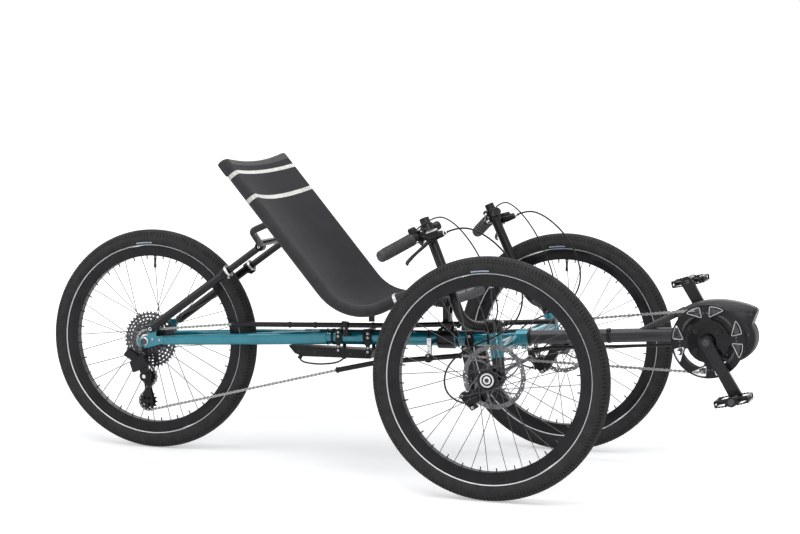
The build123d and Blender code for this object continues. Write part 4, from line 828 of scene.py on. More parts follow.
def make_rails():
    """Bent side rails, the bowed tubes behind the back and the nose tube, with welds and end plugs."""
    rails = Piece("seat_frame", "chassis", BLACK, PLASTIC, SILVER)
    end = RAIL_LINE[0] - RAIL_LINE[1]
    for side, s in SIDES:
        rails.tint(0).pipe([at(p.x, s * p.y, p.z) for p in RAIL_LINE], RAIL_R, 20)
        rails.tint(1).lathe(at(RAIL[0].x, s * 222, RAIL[0].z), at(end.x, 0, end.z),
                            [(-2, 12.5), (0.5, 14.1), (3, 14.1), (5.5, 12.5), (6.2, 0)], 24)
    top = [at(-852, -218, 875), at(-848, -120, 868), at(-846, 0, 865), at(-848, 120, 868), at(-852, 218, 875)]
    rails.tint(0).pipe(filleted(top, (400, 900, 400), 20), 8.5, 14)
    bow = [at(-718, 222, 718), at(-786, 196, 690), at(-792, 120, 648)]
    rails.pipe(filleted([at(p.x, -p.y, p.z) for p in bow] + bow[::-1], (28,) * 4), 10, 16)
    rails.pipe([at(RAIL[3].x, y, RAIL[3].z) for y in (-183, -90, 0, 90, 183)], 14, 20)
    rails.pipe([at(-250, y, 503) for y in (-194, 0, 194)], 10, 16)
    for side, s in SIDES:
        # weld rings where the cross tubes meet the rails
        for spot, axis, r in ((at(-724, s * 219.5, 715), at(-0.9, -0.35 * s, -0.37), 10.8),
                              (at(-250, s * 187, 503), AXLE, 10.6)):
            rails.lathe(spot, axis, [(-2.2, r - 1), (-1, r + 1.2), (1, r + 1.2), (2.2, r - 1)], 24)
    rails.done("seat_rails")


def sling_row(distance):
    """One row of the sling, from the right rail round to the left one; the top edge bows out."""
    spot, run = on_rail(distance)
    normal, half = at(-run.z, 0, run.x), spot.y
    lift = 9 + CLOTH_T - sag_at(max(0.0, min(1.0, distance / RAIL_LENGTH)))
    # round the rail from under it to where the cloth leaves it, then across
    row = []
    for k in range(10):
        c, s = polar(WRAP_R, radians(-78 + 184 * k / 9))
        row.append((-half - c, s))
    y0, n0 = row[-1]
    for y in [y0 - y0 * 2 * k / 30 for k in range(1, 30)]:
        row.append((y, lift + (n0 - lift) * (y / y0) ** 2))
    row += [(-y, n) for y, n in row[:10][::-1]]
    extra = 11 * max(0.0, 1 - distance / 40)
    return [at(spot.x, y, spot.z) + run * extra * (1 - min(1.0, abs(y) / half) ** 2) + normal * n for y, n in row]


def make_sling():
    low_band, high_band = BAND_ROWS
    distances = [-8, -3, 4, 12, 22, 28, *low_band, 60, 75, 90, 105, 113, *high_band]
    distances += [148 + 12 * k for k in range(ceil((RAIL_LENGTH - 154) / 12))] + [RAIL_LENGTH + 2]
    rows = [sling_row(d) for d in distances]
    # the top hem goes over the bowed tube and down behind it
    spot, run = on_rail(0)
    front = at(-run.z, 0, run.x)
    hem = []
    for depth, slide in ((24, 40), (24, 8), (19, -3), (9, -6)):
        row = []
        for p in rows[0]:
            level = (p - at(spot.x, 0, spot.z)).dot(front)
            moved = p + front * (max(min(level, 12) - depth, -17.5) - level) + run * slide
            row.append(at(moved.x, p.y * (0.985 if abs(p.y) > 215 else 1), moved.z))
        hem.append(row)
    rows = hem + rows
    # the nose hem goes over the front tube and back under it
    ahead = on_rail(RAIL_LENGTH)[1]
    up = at(-ahead.z, 0, ahead.x)
    last = rows[-1]
    for turn in (62, 30, 0, -30, -60, -88):
        c, s = polar(WRAP_R, radians(turn))
        rows.append([at(RAIL[3].x, max(-176, min(176, p.y)), RAIL[3].z) + ahead * c + up * s for p in last])
    rows.append([p - ahead * 34 + up * 2 for p in rows[-1]])

    width, middle = len(rows[0]), rows[len(rows) // 2]
    along, across = [0.0], [0.0]
    for a, b in zip(rows, rows[1:]):
        along.append(along[-1] + (b[width // 2] - a[width // 2]).length / 1000)
    for a, b in zip(middle, middle[1:]):
        across.append(across[-1] + (b - a).length / 1000)
    bm = bmesh.new()
    verts = [[bm.verts.new(METRES @ p) for p in row] for row in rows]
    flat = bm.loops.layers.uv.new("flat")
    for i in range(len(rows) - 1):
        low = distances[i - len(hem)] if 0 <= i - len(hem) < len(distances) else -1
        for j in range(width - 1):
            corners = ((j, i), (j + 1, i), (j + 1, i + 1), (j, i + 1))
            f = bm.faces.new([verts[v][u] for u, v in corners])
            f.smooth = True
            for loop, (u, v) in zip(f.loops, corners):
                loop[flat].uv = (across[u], along[v])
            banded = any(start <= low < end for start, end in BAND_ROWS)
            f.material_index = 2 if banded else 1 if j < 8 or j > width - 10 or low < 12 else 0
    area = sum(f.calc_area() for f in bm.faces)
    mesh = bpy.data.meshes.new("seat_sling")
    bm.to_mesh(mesh)
    bm.free()
    for material in (FABRIC, BINDING, BAND):
        mesh.materials.append(material)
    sling = bpy.data.objects.new("seat_sling", mesh)
    solid = sling.modifiers.new("thickness", "SOLIDIFY")
    solid.thickness, solid.offset = CLOTH_T / 1000, -1
    smooth = sling.modifiers.new("smooth", "SUBSURF")
    smooth.levels = smooth.render_levels = 1
    settle(sling, "chassis", "seat_mesh")


make_rails()
make_sling()

# ---- handlebars --------------------------------------------------------------------
KINGPIN_Y = TRACK / 2 - TYRE_R * tan(radians(16))
RISER_FOOT = (-27, KINGPIN_Y - 36.4, TYRE_R + 128.5)
RISER_BEND = (-94, KINGPIN_Y + 25.6, TYRE_R + 128.5)
RISER_TOP = (-222, KINGPIN_Y - 0.9, TYRE_R + 418.5)
GRIP_END = (-302, KINGPIN_Y + 144.6, TYRE_R + 322)
GRIP_MEETS = 260 / 290         # share of the way up the riser
HOSE_POINTS = (
    (-105, 356, 740), (-48, 344, 722), (10, 336, 676), (50, 334, 615), (68, 334, 548), (52, 334, 486), (6, 336, 446),
    (-56, 339, 418), (-114, 341, 386), (-150, 346, 340), (-150, 353, 288), (-116, 362, 258))
CALIPER_NIPPLE = (-80, 369, 254)
CABLE_POINTS = ((-188, 340, 768), (-138, 326, 750), (-84, 321, 690), (-46, 320, 622), (-18, 318, 554), (-8, 312, 502),
                (-22, 303, 476))


def on_side(s, point):
    return at(point[0], s * point[1], point[2])


def kingpin(s, along):
    return at(0, s * KINGPIN_Y, TYRE_R) + at(-tan(radians(11.8)), -s * tan(radians(16)), 1).normalized() * along


def hose_line(name, body, route, radius, replaces=None):
    """A cord on a smooth curve through a route."""
    curve = bpy.data.curves.new(name, "CURVE")
    curve.dimensions, curve.bevel_resolution, curve.resolution_u = "3D", 4, 10
    spline = curve.splines.new("NURBS")
    spline.points.add(len(route) - 1)
    for point, p in zip(spline.points, route):
        point.co = (*(METRES @ p), 1)
    spline.order_u = 3
    spline.use_endpoint_u = True
    hose = bpy.data.objects.new(name, curve)
    bpy.context.collection.objects.link(hose)
    line = bpy.data.meshes.new_from_object(hose)
    bpy.data.meshes.remove(line)
    curve.bevel_depth = radius / 1000
    curve.materials.append(HOSE)
    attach(hose, body)
    if replaces:
        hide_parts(replaces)


class Bar:
    """Places along the grip bar of one side: along it, ahead of it and above it."""

    def __init__(self, s):
        foot, self.end = on_side(s, RISER_BEND), on_side(s, GRIP_END)
        riser = on_side(s, RISER_TOP) - foot
        meet = foot + riser * GRIP_MEETS
        self.reach = (meet - self.end).length
        self.inboard = (meet - self.end).normalized()
        self.ahead = at(-s * self.inboard.y, s * self.inboard.x, 0).normalized()
        self.up = (self.inboard.cross(self.ahead) * s).normalized()
        self.riser = riser.normalized()

    def __call__(self, along, ahead=0.0, lift=0.0):
        return self.end + self.inboard * along + self.ahead * ahead + self.up * lift


def make_grip(side, q, body):
    """Ribbed grip with its end cap and lock ring."""
    grip = Piece(f"grip_{side}_ribs", body, GRIP_RUBBER, ANODISED, SILVER)
    outline = [(0, 0), (0, 10.5), (1.2, 14.2), (4, 16), (9, 16.6)]
    for a in [11 + 5.2 * k for k in range(19)]:
        outline += [(a, 16.6), (a + 0.6, 15.7), (a + 1.6, 15.7), (a + 2.2, 16.6)]
    outline += [(111.5, 16.6), (113.5, 18), (118.5, 18), (120, 16.8), (121, 11.2)]
    grip.lathe(q(0), q.inboard, outline, 40)
    for row in range(14):
        c, s = polar(1, 2 * pi * row / 14)
        out = q.ahead * c + q.up * s
        for k in range(9):
            grip.box(q(22 + 10.4 * k) + out * 16.8, (7, 4, 1.6), q.inboard, out, 0.5, 1)
    grip.tint(1).lathe(q(120.5), q.inboard, band(11.2, 17, 6, 1, 1), 40)
    grip.tint(2).rod(q(124, 13, -12), q(124, 17, -6), 2.6, segs=16)
    grip.done(f"grip_{side}")


def make_pod(side, q, body):
    """Control pod: clamp ring, ridged drum with its dial, thumb paddle."""
    pod = Piece(f"control_pod_{side}_dial", body, PLASTIC, ANODISED, SILVER)
    pod.lathe(q(127.2), q.inboard, band(11.2, 15.2, 10.5, 1, 0.7), 36)
    foot = q(132, 0, 8)
    stem = (q(132, -6, 32) - foot).normalized()
    pod.lathe(foot, stem, [(0, 9), (3, 10.5), (8, 11.2), (10, 11.6), (17.5, 11.6), (20.5, 10.4), (21.5, 8.8),
                           (20.5, 7.8), (20.5, 0)], 36)
    flank = stem.cross(q.inboard).normalized()
    for k in range(22):
        c, s = polar(1, 2 * pi * k / 22)
        out = flank * c + stem.cross(flank) * s
        pod.box(foot + stem * 13.5 + out * 11.5, (1, 1.4, 8.5), out, stem, 0.3, 1)
    pod.tint(1).lathe(foot + stem * 20.4, stem, [(0, 7.5), (0.8, 7), (1, 2.5), (0.4, 2), (0.4, 0)], 28)
    pod.tint(0).slab(rounded([(-4.5, 0), (4.5, 0), (7.5, 22), (1, 27), (-6, 22)], 3), q(133, 10, -6), 3, 0.8, 2,
                     q.inboard, q(133, 30, -20) - q(133, 10, -6))
    pod.tint(2).rod(q(132, -15.5, -2), q(132, -12.5, -2), 2.2, segs=14)
    pod.done(f"control_pod_{side}")


def make_lever(side, q, body):
    """Hydraulic brake: split clamp, cylinder, reservoir with its cover, and the blade on its pivot."""
    lever = Piece(f"brake_lever_{side}_blade", body, ANODISED, SILVER, BLACK)
    lever.lathe(q(139.5), q.inboard, band(11.2, 15.8, 13, 0.8, 0.8), 36)
    for lift in (14, -15):
        lever.tint(0).box(q(146, 10, lift), (11, 10, 7), q.inboard, q.up, 1.2)
        lever.tint(1).rod(q(146, 14.5, lift), q(146, 17.2, lift), 2.8, segs=6)
    cylinder, tip = q(149, 26, -8), q(179, 70, -1)
    length, along = (tip - cylinder).length, (tip - cylinder).normalized()
    lever.tint(0).lathe(cylinder, along, [(0, 6), (0.8, 9.2), (3, 10.8), (10, 11.6), (30, 11.6), (36, 10.6),
                                          (length - 10, 9.8), (length - 3, 9.2), (length, 7.2)], 32)
    lever.pipe([q(146, 8, -2), q(149, 20, -5), q(152, 32, -7)], [8.5, 7.5, 8.5], 16)
    high, middle = (q.up - along * q.up.dot(along)).normalized(), cylinder + along * 23
    lever.box(middle + high * 10, (34, 19, 12), along, high, 3.5, 3)
    lever.tint(1).box(middle + high * 16.8, (31, 16, 2.2), along, high, 0.9)
    for k in (-11.5, 11.5):
        lever.rod(middle + along * k + high * 17.5, middle + along * k + high * 18.6, 1.9, segs=12)
    lever.lathe(tip - along * 2, along, [(0, 6.5), (1.5, 7.2), (4.5, 7.2), (6, 6), (6, 4.2), (8, 4)], 6)
    blade = [q(152, 37, -13), q(138, 38, -16), q(120, 38, -21), q(100, 38, -25), q(82, 38.5, -29), q(66, 40, -33),
             q(56, 42, -35), q(49, 46, -37), q(46, 50, -38.5)]
    lever.tint(0).box(blade[0], (14, 16, 11), q(120, 38, -22) - blade[0], q.up, 3, 3)
    lever.tint(1).rod(q(150, 38, -20), q(150, 38, -6), 3.4, segs=20)
    lever.tint(0).pipe(blade, [6.2, 5.8, 5, 4.6, 4.8, 5.2, 5.2, 5, 3.6], 14, flat=0.72)
    lever.tint(1).rod(q(128, 37, -13.5), q(128, 37, -12), 2.6, segs=12)
    lever.done(f"brake_lever_{side}")


def make_clamps(side, s, q, body):
    """Clamp where the grip bar meets the riser, the plugs of both, and the stem clamp on the kingpin."""
    clamps = Piece(f"bar_clamps_{side}", body, BLACK, SILVER, PLASTIC, ANODISED)
    joint = q(q.reach)
    clamps.lathe(joint - q.riser * 19, q.riser, band(14, 18.2, 38, 1.5, 1.7), 40)
    clamps.lathe(joint - q.inboard * 19, q.inboard, [(0, 11.2), (0, 14), (1.2, 15.2), (16, 15.2), (17.5, 14)], 36)
    back = q.riser.cross(q.inboard).normalized()
    if back.x > 0:
        back = -back
    for k in (-1, 1):
        spot = joint + q.riser * 10.5 * k - q.inboard * 4
        clamps.tint(0).box(spot + back * 19.5, (12, 13, 10), q.inboard, back, 2)
        clamps.tint(1).rod(spot + back * 23 - q.inboard * 9, spot + back * 23 + q.inboard * 9, 2.6, segs=12)
    clamps.tint(2).lathe(on_side(s, RISER_TOP) - q.riser * 2, q.riser, [(0, 12), (2, 14.1), (4.2, 14.1), (5.5, 12.8),
                                                                        (6.2, 9), (6.2, 0)], 32)
    clamps.lathe(q(q.reach + 34.5), q.inboard, [(0, 11), (1.5, 13), (3.2, 12.6), (4.2, 10.5), (3.6, 8.8), (3.6, 0)],
                 32)
    low, foot = kingpin(s, 119), on_side(s, RISER_FOOT)
    axis, way = (kingpin(s, 149) - low).normalized(), (on_side(s, RISER_BEND) - foot).normalized()
    clamps.tint(3).lathe(low, axis, band(11.2, 19.6, 30, 1.5, 1.4), 40)
    clamps.lathe(foot + way * 8, way, band(14, 18.5, 22, 1.5, 1.3), 40)
    clamps.tint(0).box(foot - way * 19.5, (20, 17, 26), way, axis, 4, 3)
    for k in (-8, 8):
        spot = foot - way * 22.5 + axis * k
        clamps.tint(1).rod(spot - way.cross(axis) * 10.5, spot + way.cross(axis) * 10.5, 3, segs=14)
    clamps.rod(kingpin(s, 150.5), kingpin(s, 154.5), 10.5, ease=1, segs=28)
    clamps.rod(kingpin(s, 154), kingpin(s, 157.5), 6.2, segs=6)
    clamps.done()


def make_lines(side, s, q, body):
    """The brake hose with its two fittings, and the shift cable beside it down to the stem clamp."""
    foot, nipple = q(180, 74), on_side(s, CALIPER_NIPPLE)
    route = [on_side(s, p) for p in HOSE_POINTS]
    route = [foot + (route[0] - foot).normalized() * 9.3] + route + [nipple + (route[-1] - nipple).normalized() * 9.3]
    hose_line(f"brake_hose_{side}_line", body, route, 2.5, f"brake_hose_{side}")
    hose_line(f"shift_cable_{side}_line", body, [q(137, 6, 21)] + [on_side(s, p) for p in CABLE_POINTS], 2.1)
    ends = Piece(f"hose_ends_{side}", body, ANODISED, SILVER)
    for spot, toward in ((foot, route[1]), (nipple, route[-2])):
        way = (toward - spot).normalized()
        ends.tint(0).lathe(spot - way * 3, way, [(0, 4), (1, 4.8), (5, 4.8), (6, 4), (11.8, 3.6), (12.8, 2.7)], 20)
        ends.tint(1).lathe(spot + way * 2, way, [(0, 4.4), (0.5, 5.2), (3.2, 5.2), (3.7, 4.4)], 6)
    ends.done()


for side, s in SIDES:
    q, body = Bar(s), f"knuckle_{side}"
    make_grip(side, q, body)
    make_pod(side, q, body)
    make_lever(side, q, body)
    make_clamps(side, s, q, body)
    make_lines(side, s, q, body)

# ---- motor -------------------------------------------------------------------------
# the hood's sections: place, top, half width, shoulder and lower edge
HOOD = ((440, 504, 26, 486, 470), (470, 519, 38, 497, 462), (510, 530, 46, 505, 450), (550, 534, 48, 508, 440),
        (590, 531, 48, 505, 440), (625, 524, 44, 500, 448), (648, 516, 36, 495, 460), (657, 508, 28, 492, 468))
HOOD_AT = [440, 446, 455] + list(range(470, 621, 15)) + [632, 642, 648, 651, 654]
DRUM = at(588, 0, 428)


def eased(p0, p1, p2, p3, t):
    """A smooth curve through p1 and p2, read at t between them."""
    return 0.5 * (2 * p1 + (p2 - p0) * t + (2 * p0 - 5 * p1 + 4 * p2 - p3) * t * t
                  + (3 * p1 - p0 - 3 * p2 + p3) * t ** 3)


def hood_ring(x):
    """Outline of the hood at x, from its lower right edge over the top to the lower left one."""
    last = len(HOOD) - 1
    k = sum(1 for row in HOOD[1:-1] if row[0] <= x)
    t = (x - HOOD[k][0]) / (HOOD[k + 1][0] - HOOD[k][0])
    rows = [HOOD[max(0, min(last, k + step))] for step in (-1, 0, 1, 2)]
    top, half, shoulder, low = [eased(*values, t) for values in list(zip(*rows))[1:]]
    rise = top - shoulder
    r = (half * half + rise * rise) / (2 * rise)
    reach = asin(min(1, half / r))
    edge = [low, (low + shoulder) / 2, shoulder - 3]
    points = [(-half, z) for z in edge]
    for turn in [reach * (i / 8 - 1) for i in range(1, 16)]:
        points.append((r * sin(turn), top - r + r * cos(turn)))
    points += [(half, z) for z in edge[::-1]]
    lean = 0.34 * max(0, (x - 600) / 54)
    return [at(x - max(0, 506 - z) * lean, y, z) for y, z in points]


def make_motor():
    motor = Piece("motor_case", "chassis", PLASTIC, ANODISED, DARK_STEEL, SILVER, HOOD_PLASTIC)
    # main case round the crank axle, and the drum ahead of it
    motor.tint(1).lathe(CRANK - AXLE * 46, AXLE, [(0, 11.2), (0, 30), (0, 50), (3, 55), (5, 59.5), (10, 61.8),
                                                  (36, 61.8),
                                                  (38, 60.3), (41, 60.3), (43, 61.8), (82, 61.8), (88, 59), (92, 52),
                                                  (92, 11.2)], 96, full=False)
    motor.tint(0).lathe(DRUM - AXLE * 46, AXLE, [
        (0, 0), (0, 40), (2, 52), (4, 57.5), (8, 62.5), (14, 65.5), (20, 65.8), (26, 65.8), (27, 64.2), (30, 64.2),
        (31, 65.8), (61, 65.8), (62, 64.2), (65, 64.2), (66, 65.8), (72, 65.8), (78, 65.5), (84, 62.5), (88, 57.5),
        (90, 52), (92, 40), (92, 0)], 96)
    # webs between the two, above and below
    for sign in (-1, 1):
        web = [(RING[0] - 8, RING[1] + 61.4 * sign), (DRUM.x + 8, DRUM.z + 65.3 * sign), (DRUM.x, DRUM.z + 30 * sign),
               (RING[0], RING[1] + 30 * sign)]
        motor.tint(1).slab(web[::-sign], at(0, 30, 0), 60, 3)
    # bolts and stepped covers of both faces, and the drum's grille
    for side, s in SIDES:
        out, face = AXLE * s, s * 46
        for k in range(8):
            spot = around(CRANK, 51, radians(22.5 + 45 * k), face)
            motor.tint(1).lathe(spot - out * 6, out, [(0, 6.2), (5.5, 6.2), (6.2, 5.5), (6.2, 0)], 20)
            motor.tint(2).lathe(spot, out, [(0, 3.4), (1.2, 3.4), (1.8, 2.8), (1.8, 1.6), (0.8, 1.5), (0.8, 0)], 16)
        for inner, outer, lift in ((18, 40, 2.6), (11.5, 18.5, 4.5)):
            motor.tint(1).lathe(CRANK + AXLE * face, out, [(-1, inner), (-1, outer), (lift - 1, outer - 0.6),
                                                           (lift, outer - 1.8), (lift, inner)], 64, full=False)
        for k in range(6):
            motor.tint(2).lathe(around(DRUM, 47, radians(60 * k + 15), face - s), out,
                                [(0, 4.2), (2, 4), (2.6, 3), (2.6, 1.7), (1.6, 1.6), (1.6, 0)], 16)
        for k in range(5):
            motor.tint(0).box(DRUM + at(4, s * 46.3, 9 * k - 18), (46 - 4 * abs(k - 2), 2.4, 3.4), bevel=0.8)
    motor.done("motor")

    hood = Piece("motor_hood_shell", "chassis", HOOD_PLASTIC, PLASTIC, DARK_STEEL)
    hood.skin([hood_ring(x) for x in HOOD_AT])
    for side, s in SIDES:
        for x, y, z in ((640, 38.6, 498), (462, 33.6, 488)):
            hood.tint(2).lathe(at(x, s * (y - 2), z), AXLE * s, [(0, 3.6), (2.2, 3.4), (3, 2.6), (3, 1.4), (2, 1.3),
                                                                 (2, 0)], 16)
    hood.done("motor_hood")


make_motor()

# ---- frame fittings ----------------------------------------------------------------
STRUT_FOOT, STRUT_HEAD = at(26 - WHEELBASE, 92, TYRE_R + 40.5), at(-796, 92, 640)
STRUT_LENGTH = (STRUT_HEAD - STRUT_FOOT).length
COLLAR_AT = 293                # along the strut, like the pin holes
PIN_HOLES = range(340, 443, 17)
DROPOUT_FACE, TAB_FACE = 78, 90.5
CALIPER_Y = TRACK / 2 - 44
TIE_PIN = (-80, KINGPIN_Y + 39.5 * tan(radians(16)) - 8.6, TYRE_R - 39.5)
BACK_TOP, BACK_LOW = at(-858, 0, 882), at(-479, 0, 438)
STRAP_HALF, RAIL_HALF = 196, 222


def strut_point(s, along):
    return on_side(s, STRUT_FOOT.lerp(STRUT_HEAD, along / STRUT_LENGTH))


def weld(piece, spot, way, r):
    """A rippled bead of weld round a tube."""
    way = way.normalized()
    u = way.orthogonal().normalized()
    v = way.cross(u)
    rings = []
    count = int(2 * pi * r / 2.4)
    for i in range(count * 2):
        c, s = polar(1, pi * i / count)
        out, swell = u * c + v * s, 1.9 if i % 2 else 2.3
        rings.append([spot + out * r - way * 2.604 * cos(a) + out * swell * sin(a)
                      for a in (0, 0.9, pi / 2, pi - 0.9, pi)])
    piece.skin(rings, loop=True, closed=False)


def make_frame_fittings():
    fit = Piece("frame_fittings", "chassis", TEAL, SILVER, DARK_STEEL, BLACK, PLASTIC)
    # welds of the cross arms and the tube, cups of the head tubes
    for side, s in SIDES:
        a, b = at(-45, 0, 388), kingpin(s, 42 + 74 * 0.36)
        way = (b - a).normalized()
        weld(fit.tint(0), a + way * 26.5, way, 18.1)
        weld(fit, b - way * 19.5, way, 18.1)
        axis = (kingpin(s, 120) - kingpin(s, 40)).normalized()
        for along in (40.5, 115.2):
            fit.tint(3).lathe(kingpin(s, along) - axis * 3, axis, band(11.2, 19, 6.2, 1, 1.4), 40, full=False)
    weld(fit.tint(0), at(-620, 0, tube_line(-620)), at(1, 0, 0.037), 22.6)
    # the boom's collar ring and its pinch bolts
    fit.tint(3).lathe(at(-3, 0, tube_line(-3)), at(1, 0, 0.07), [(0, 19.7), (0, 25.2), (1, 26.2), (4.5, 26.2),
                                                                 (5.5, 25), (5.5, 19.7)], 48, full=False)
    for x in (-46, -16):
        for s in (-1, 1):
            fit.bolt(at(x, s * 11, tube_line(x) - 28), AXLE * s, 4.8, 4)
    # axle collars and bolts of the dropouts
    for side, s in SIDES:
        hub = at(-WHEELBASE, s * DROPOUT_FACE, TYRE_R)
        fit.tint(1).lathe(hub, AXLE * s, band(6.2, 12.8, 4.2, 1.2, 1.6), 40, full=False)
        for x, z in ((50, 7), (28, 8)):
            fit.bolt(hub + at(x, 0, z), AXLE * s, 3.6, 2.8)
    # cable clips along the tube and on the boom
    for x in (-600, -500, -390, -300, -215, -120):
        z = tube_line(x)
        fit.tint(4).lathe(at(x - 4, 0, z), at(1, 0, 0.05), band(22.7, 24.1, 7.8, 1, 0.5), 44, full=False)
        fit.box(at(x, -16.5, z + 20), (10, 9, 8), at(1, 0, 0.04), at(0, -0.5, 0.86), 1.5)
    x, z = 232, tube_line(232)
    fit.lathe(at(x - 5, 0, z), at(1, 0, 0.07), band(19.6, 21.3, 10, 1, 0.7), 44, full=False)
    fit.box(at(x, -14, z + 17), (12, 10, 9), at(1, 0, 0.07), at(0, -0.6, 0.8), 1.8)
    # two cables that run under the clips
    for lift, out in ((22.6, -14.6), (20.4, -17.6)):
        route = []
        for i in range(41):
            x, sway = 15 * i - 640, 1.1 * sin(i * 0.9 + lift)
            route.append(at(x, out + sway * 0.3, tube_line(x) + lift + sway * 0.4 - 1.2))
        fit.pipe(route, 2.2, 10)
    # bolts of the motor bracket
    for s in (-1, 1):
        for x, z in ((447, 478), (446, 415), (488, 490)):
            fit.bolt(at(x, s * 23, z), AXLE * s, 4.6, 3.6)
    fit.done()


def make_seat_mount():
    """Saddle clamp on the main tube, two side plates, a cap over the cross tube and a quick lever."""
    mount = Piece("seat_mount_clamp", "chassis", BLACK, SILVER, ANODISED, DARK_STEEL)
    low, run = at(-250, 0, tube_line(-250)), at(1, 0, tan(radians(2.1))).normalized()
    mount.lathe(low - run * 25, run, band(22.8, 30, 50, 1.5, 1.5), 56, full=False)
    for s in (-1, 1):
        plate = rounded([(-20, -14), (20, -14), (16, 20), (9, 44), (10, 88), (15, 103), (15, 113), (-15, 113),
                         (-15, 103), (-10, 88), (-9, 44), (-16, 20)], 5)
        mount.tint(0).slab(plate, low + at(0, s * 17 + 2.5, 10), 5, 1.2)
        for x, z in ((-9, 114), (9, 114), (0, 44)):
            mount.bolt(low + at(x, s * 19.5, z), AXLE * s, 4, 3.2)
    mount.tint(0).lathe(at(low.x, -19, 503), AXLE, band(10.2, 14.8, 38, 1.2, 1.3), 40, full=False)
    mount.tint(2).box(low + at(0, 0, 62), (20, 34, 26), bevel=3)
    mount.tint(1).rod(low + at(-8, -21, 27), low + at(-8, 21, 27), 3.4, segs=16)
    mount.tint(2).rod(low + at(-8, -19.4, 27), low + at(-8, -20, 27), 9, segs=28)
    mount.pipe([low + at(*p) for p in ((-8, -20, 27), (-15, -21, 24), (-21, -21.5, 15), (-22, -21.5, 2))],
               [5.5, 4.8, 4.2, 3.6], 14, flat=0.6)
    mount.done("seat_mount")


def make_box_fittings():
    straps = Piece("box_straps_bands", "chassis", PLASTIC, SILVER, DARK_STEEL)
    for x in (-578, -486):
        low, top = 320, tube_line(x + 10) + 24
        rise = top - low - 4
        strap = rounded([(-5.2, 0), (5.2, 0), (5.2, 26), (8.4, 34), (8.4, rise), (-8.4, rise), (-8.4, 34), (-5.2, 26)],
                        3)
        for s in (-1, 1):
            straps.tint(0).slab(strap, at(x, s * 27.2 + 1.1, low), 2.2, 0.6)
            straps.box(at(x, s * 28.6, low + 40), (18.6, 2.2, 16), bevel=0.7)
            for lift, face in ((12, 27.8), (24, 27.8), (54, 29), (66, 29)):
                straps.bolt(at(x, s * face, low + lift), AXLE * s, 3.4, 2)
        straps.tint(0).box(at(x, 0, top - 0.6), (16.8, 56.6, 2.6), bevel=1)
    straps.done("box_straps")

    # seams, screws, sockets and the plug's short lead
    box = Piece("power_box_fittings", "chassis", PLASTIC, DARK_STEEL, HOSE)
    for s in (-1, 1):
        box.tint(0).box(at(-600, s * 26.2, 329), (236, 1.2, 1.6), bevel=0.3)
        for x in (-702, -652, -540, -490):
            box.bolt(at(x, s * 26, 323), AXLE * s, 3, 1.6, (1, 0))
    for x in (-700, -486):
        box.box(at(x, 0, 325), (10, 53.6, 24), bevel=1.5)
    box.rod(at(-700, -14, 309), at(-706, -14, 300), 6.2, segs=20)
    box.rod(at(-566, -14, 314), at(-563, -14, 305), 6.2, segs=20)
    lead = [at(x, -14, z) for x, z in ((-705, 302), (-698, 293), (-682, 288), (-645, 286), (-605, 290), (-580, 297),
                                       (-565, 308))]
    box.tint(2).pipe([eased(*ends, k / 6) for ends in zip(lead[:1] + lead, lead, lead[1:], lead[2:] + lead[-1:])
                      for k in range(6)], 2.6, 10)
    box.done()


def make_chain_guides():
    """Lips and clips of the chain tubes and the hangers' screws."""
    guides = Piece("chain_tube_clips", "chassis", PLASTIC, SILVER, DARK_STEEL)
    for run in (UPPER_RUN, LOWER_RUN):
        for (x, z), (x2, z2) in (run[:2], run[:-3:-1]):
            way = at(x2 - x, 0, z2 - z).normalized()
            guides.lathe(at(x, CHAIN_Y, z) + way * 0.2, way, [(0, 6.2), (0, 8.8), (1.2, 9.2), (5, 8.2), (8, 7.6),
                                                              (8, 6.2)], 28, full=False)
    guides.tint(1).slab(rounded([(-6.2, 0), (6.2, 0), (6.2, 52), (-6.2, 52)], 3), at(-287, CHAIN_Y - 2.6, 335), 2.4,
                        0.6)
    for z in (349, 365, 381):
        guides.bolt(at(-287, CHAIN_Y - 5, z), -AXLE, 2.6, 1.4)
    for x, z, lift in ((-287, 328, 8), (-545, 412, -8)):
        guides.tint(0).slab(rounded([(-8, -11), (8, -11), (8.5, 4), (8.5, 13), (-8.5, 13), (-8.5, 4)], 2, 2),
                            at(x, CHAIN_Y - 10.6, z), 2.2, 0.5)
        guides.bolt(at(x, CHAIN_Y - 12.6, z + lift), -AXLE, 3, 2)
    for x, z in ((-720, 404.4), (-640, 407.6), (-460, 415), (-200, 429), (-60, 441)):
        guides.tint(0).lathe(at(x - 4, CHAIN_Y, z), at(1, 0, 0.06), band(7.4, 9, 8, 1, 0.6), 28, full=False)
    guides.done()


def make_idler():
    """The toothed roller under the main tube, its pin and its hanger plate."""
    idler = Piece("idler_roller", "chassis", ANODISED, SILVER, DARK_STEEL)
    hub = at(-176, CHAIN_Y, 360.8)
    idler.plate([gear(9, 13.8, out=2.2, root=3), circle(4.2, 20)], hub - AXLE * 1.2, 2.4, 0.3)
    idler.lathe(hub - AXLE * 4.6, AXLE, [(0, 4.2), (0, 10.8), (1, 11.8), (3.2, 10.8), (6, 10.8), (8.2, 11.8),
                                         (9.2, 10.8), (9.2, 4.2)], 40, full=False)
    idler.tint(1).rod(hub - AXLE * 8.6, at(hub.x, -24, hub.z), 4)
    idler.bolt(hub - AXLE * 8.2, -AXLE, 5.6, 3)
    idler.tint(0).slab(rounded([(-13, -8), (13, -8), (13, 26), (8, 44), (-8, 44), (-13, 26)], 5),
                       at(hub.x, -22.9, hub.z), 4, 0.8)
    idler.bolt(at(hub.x, -26.6, hub.z + 33), -AXLE, 3.6, 2.6)
    idler.done("idler")


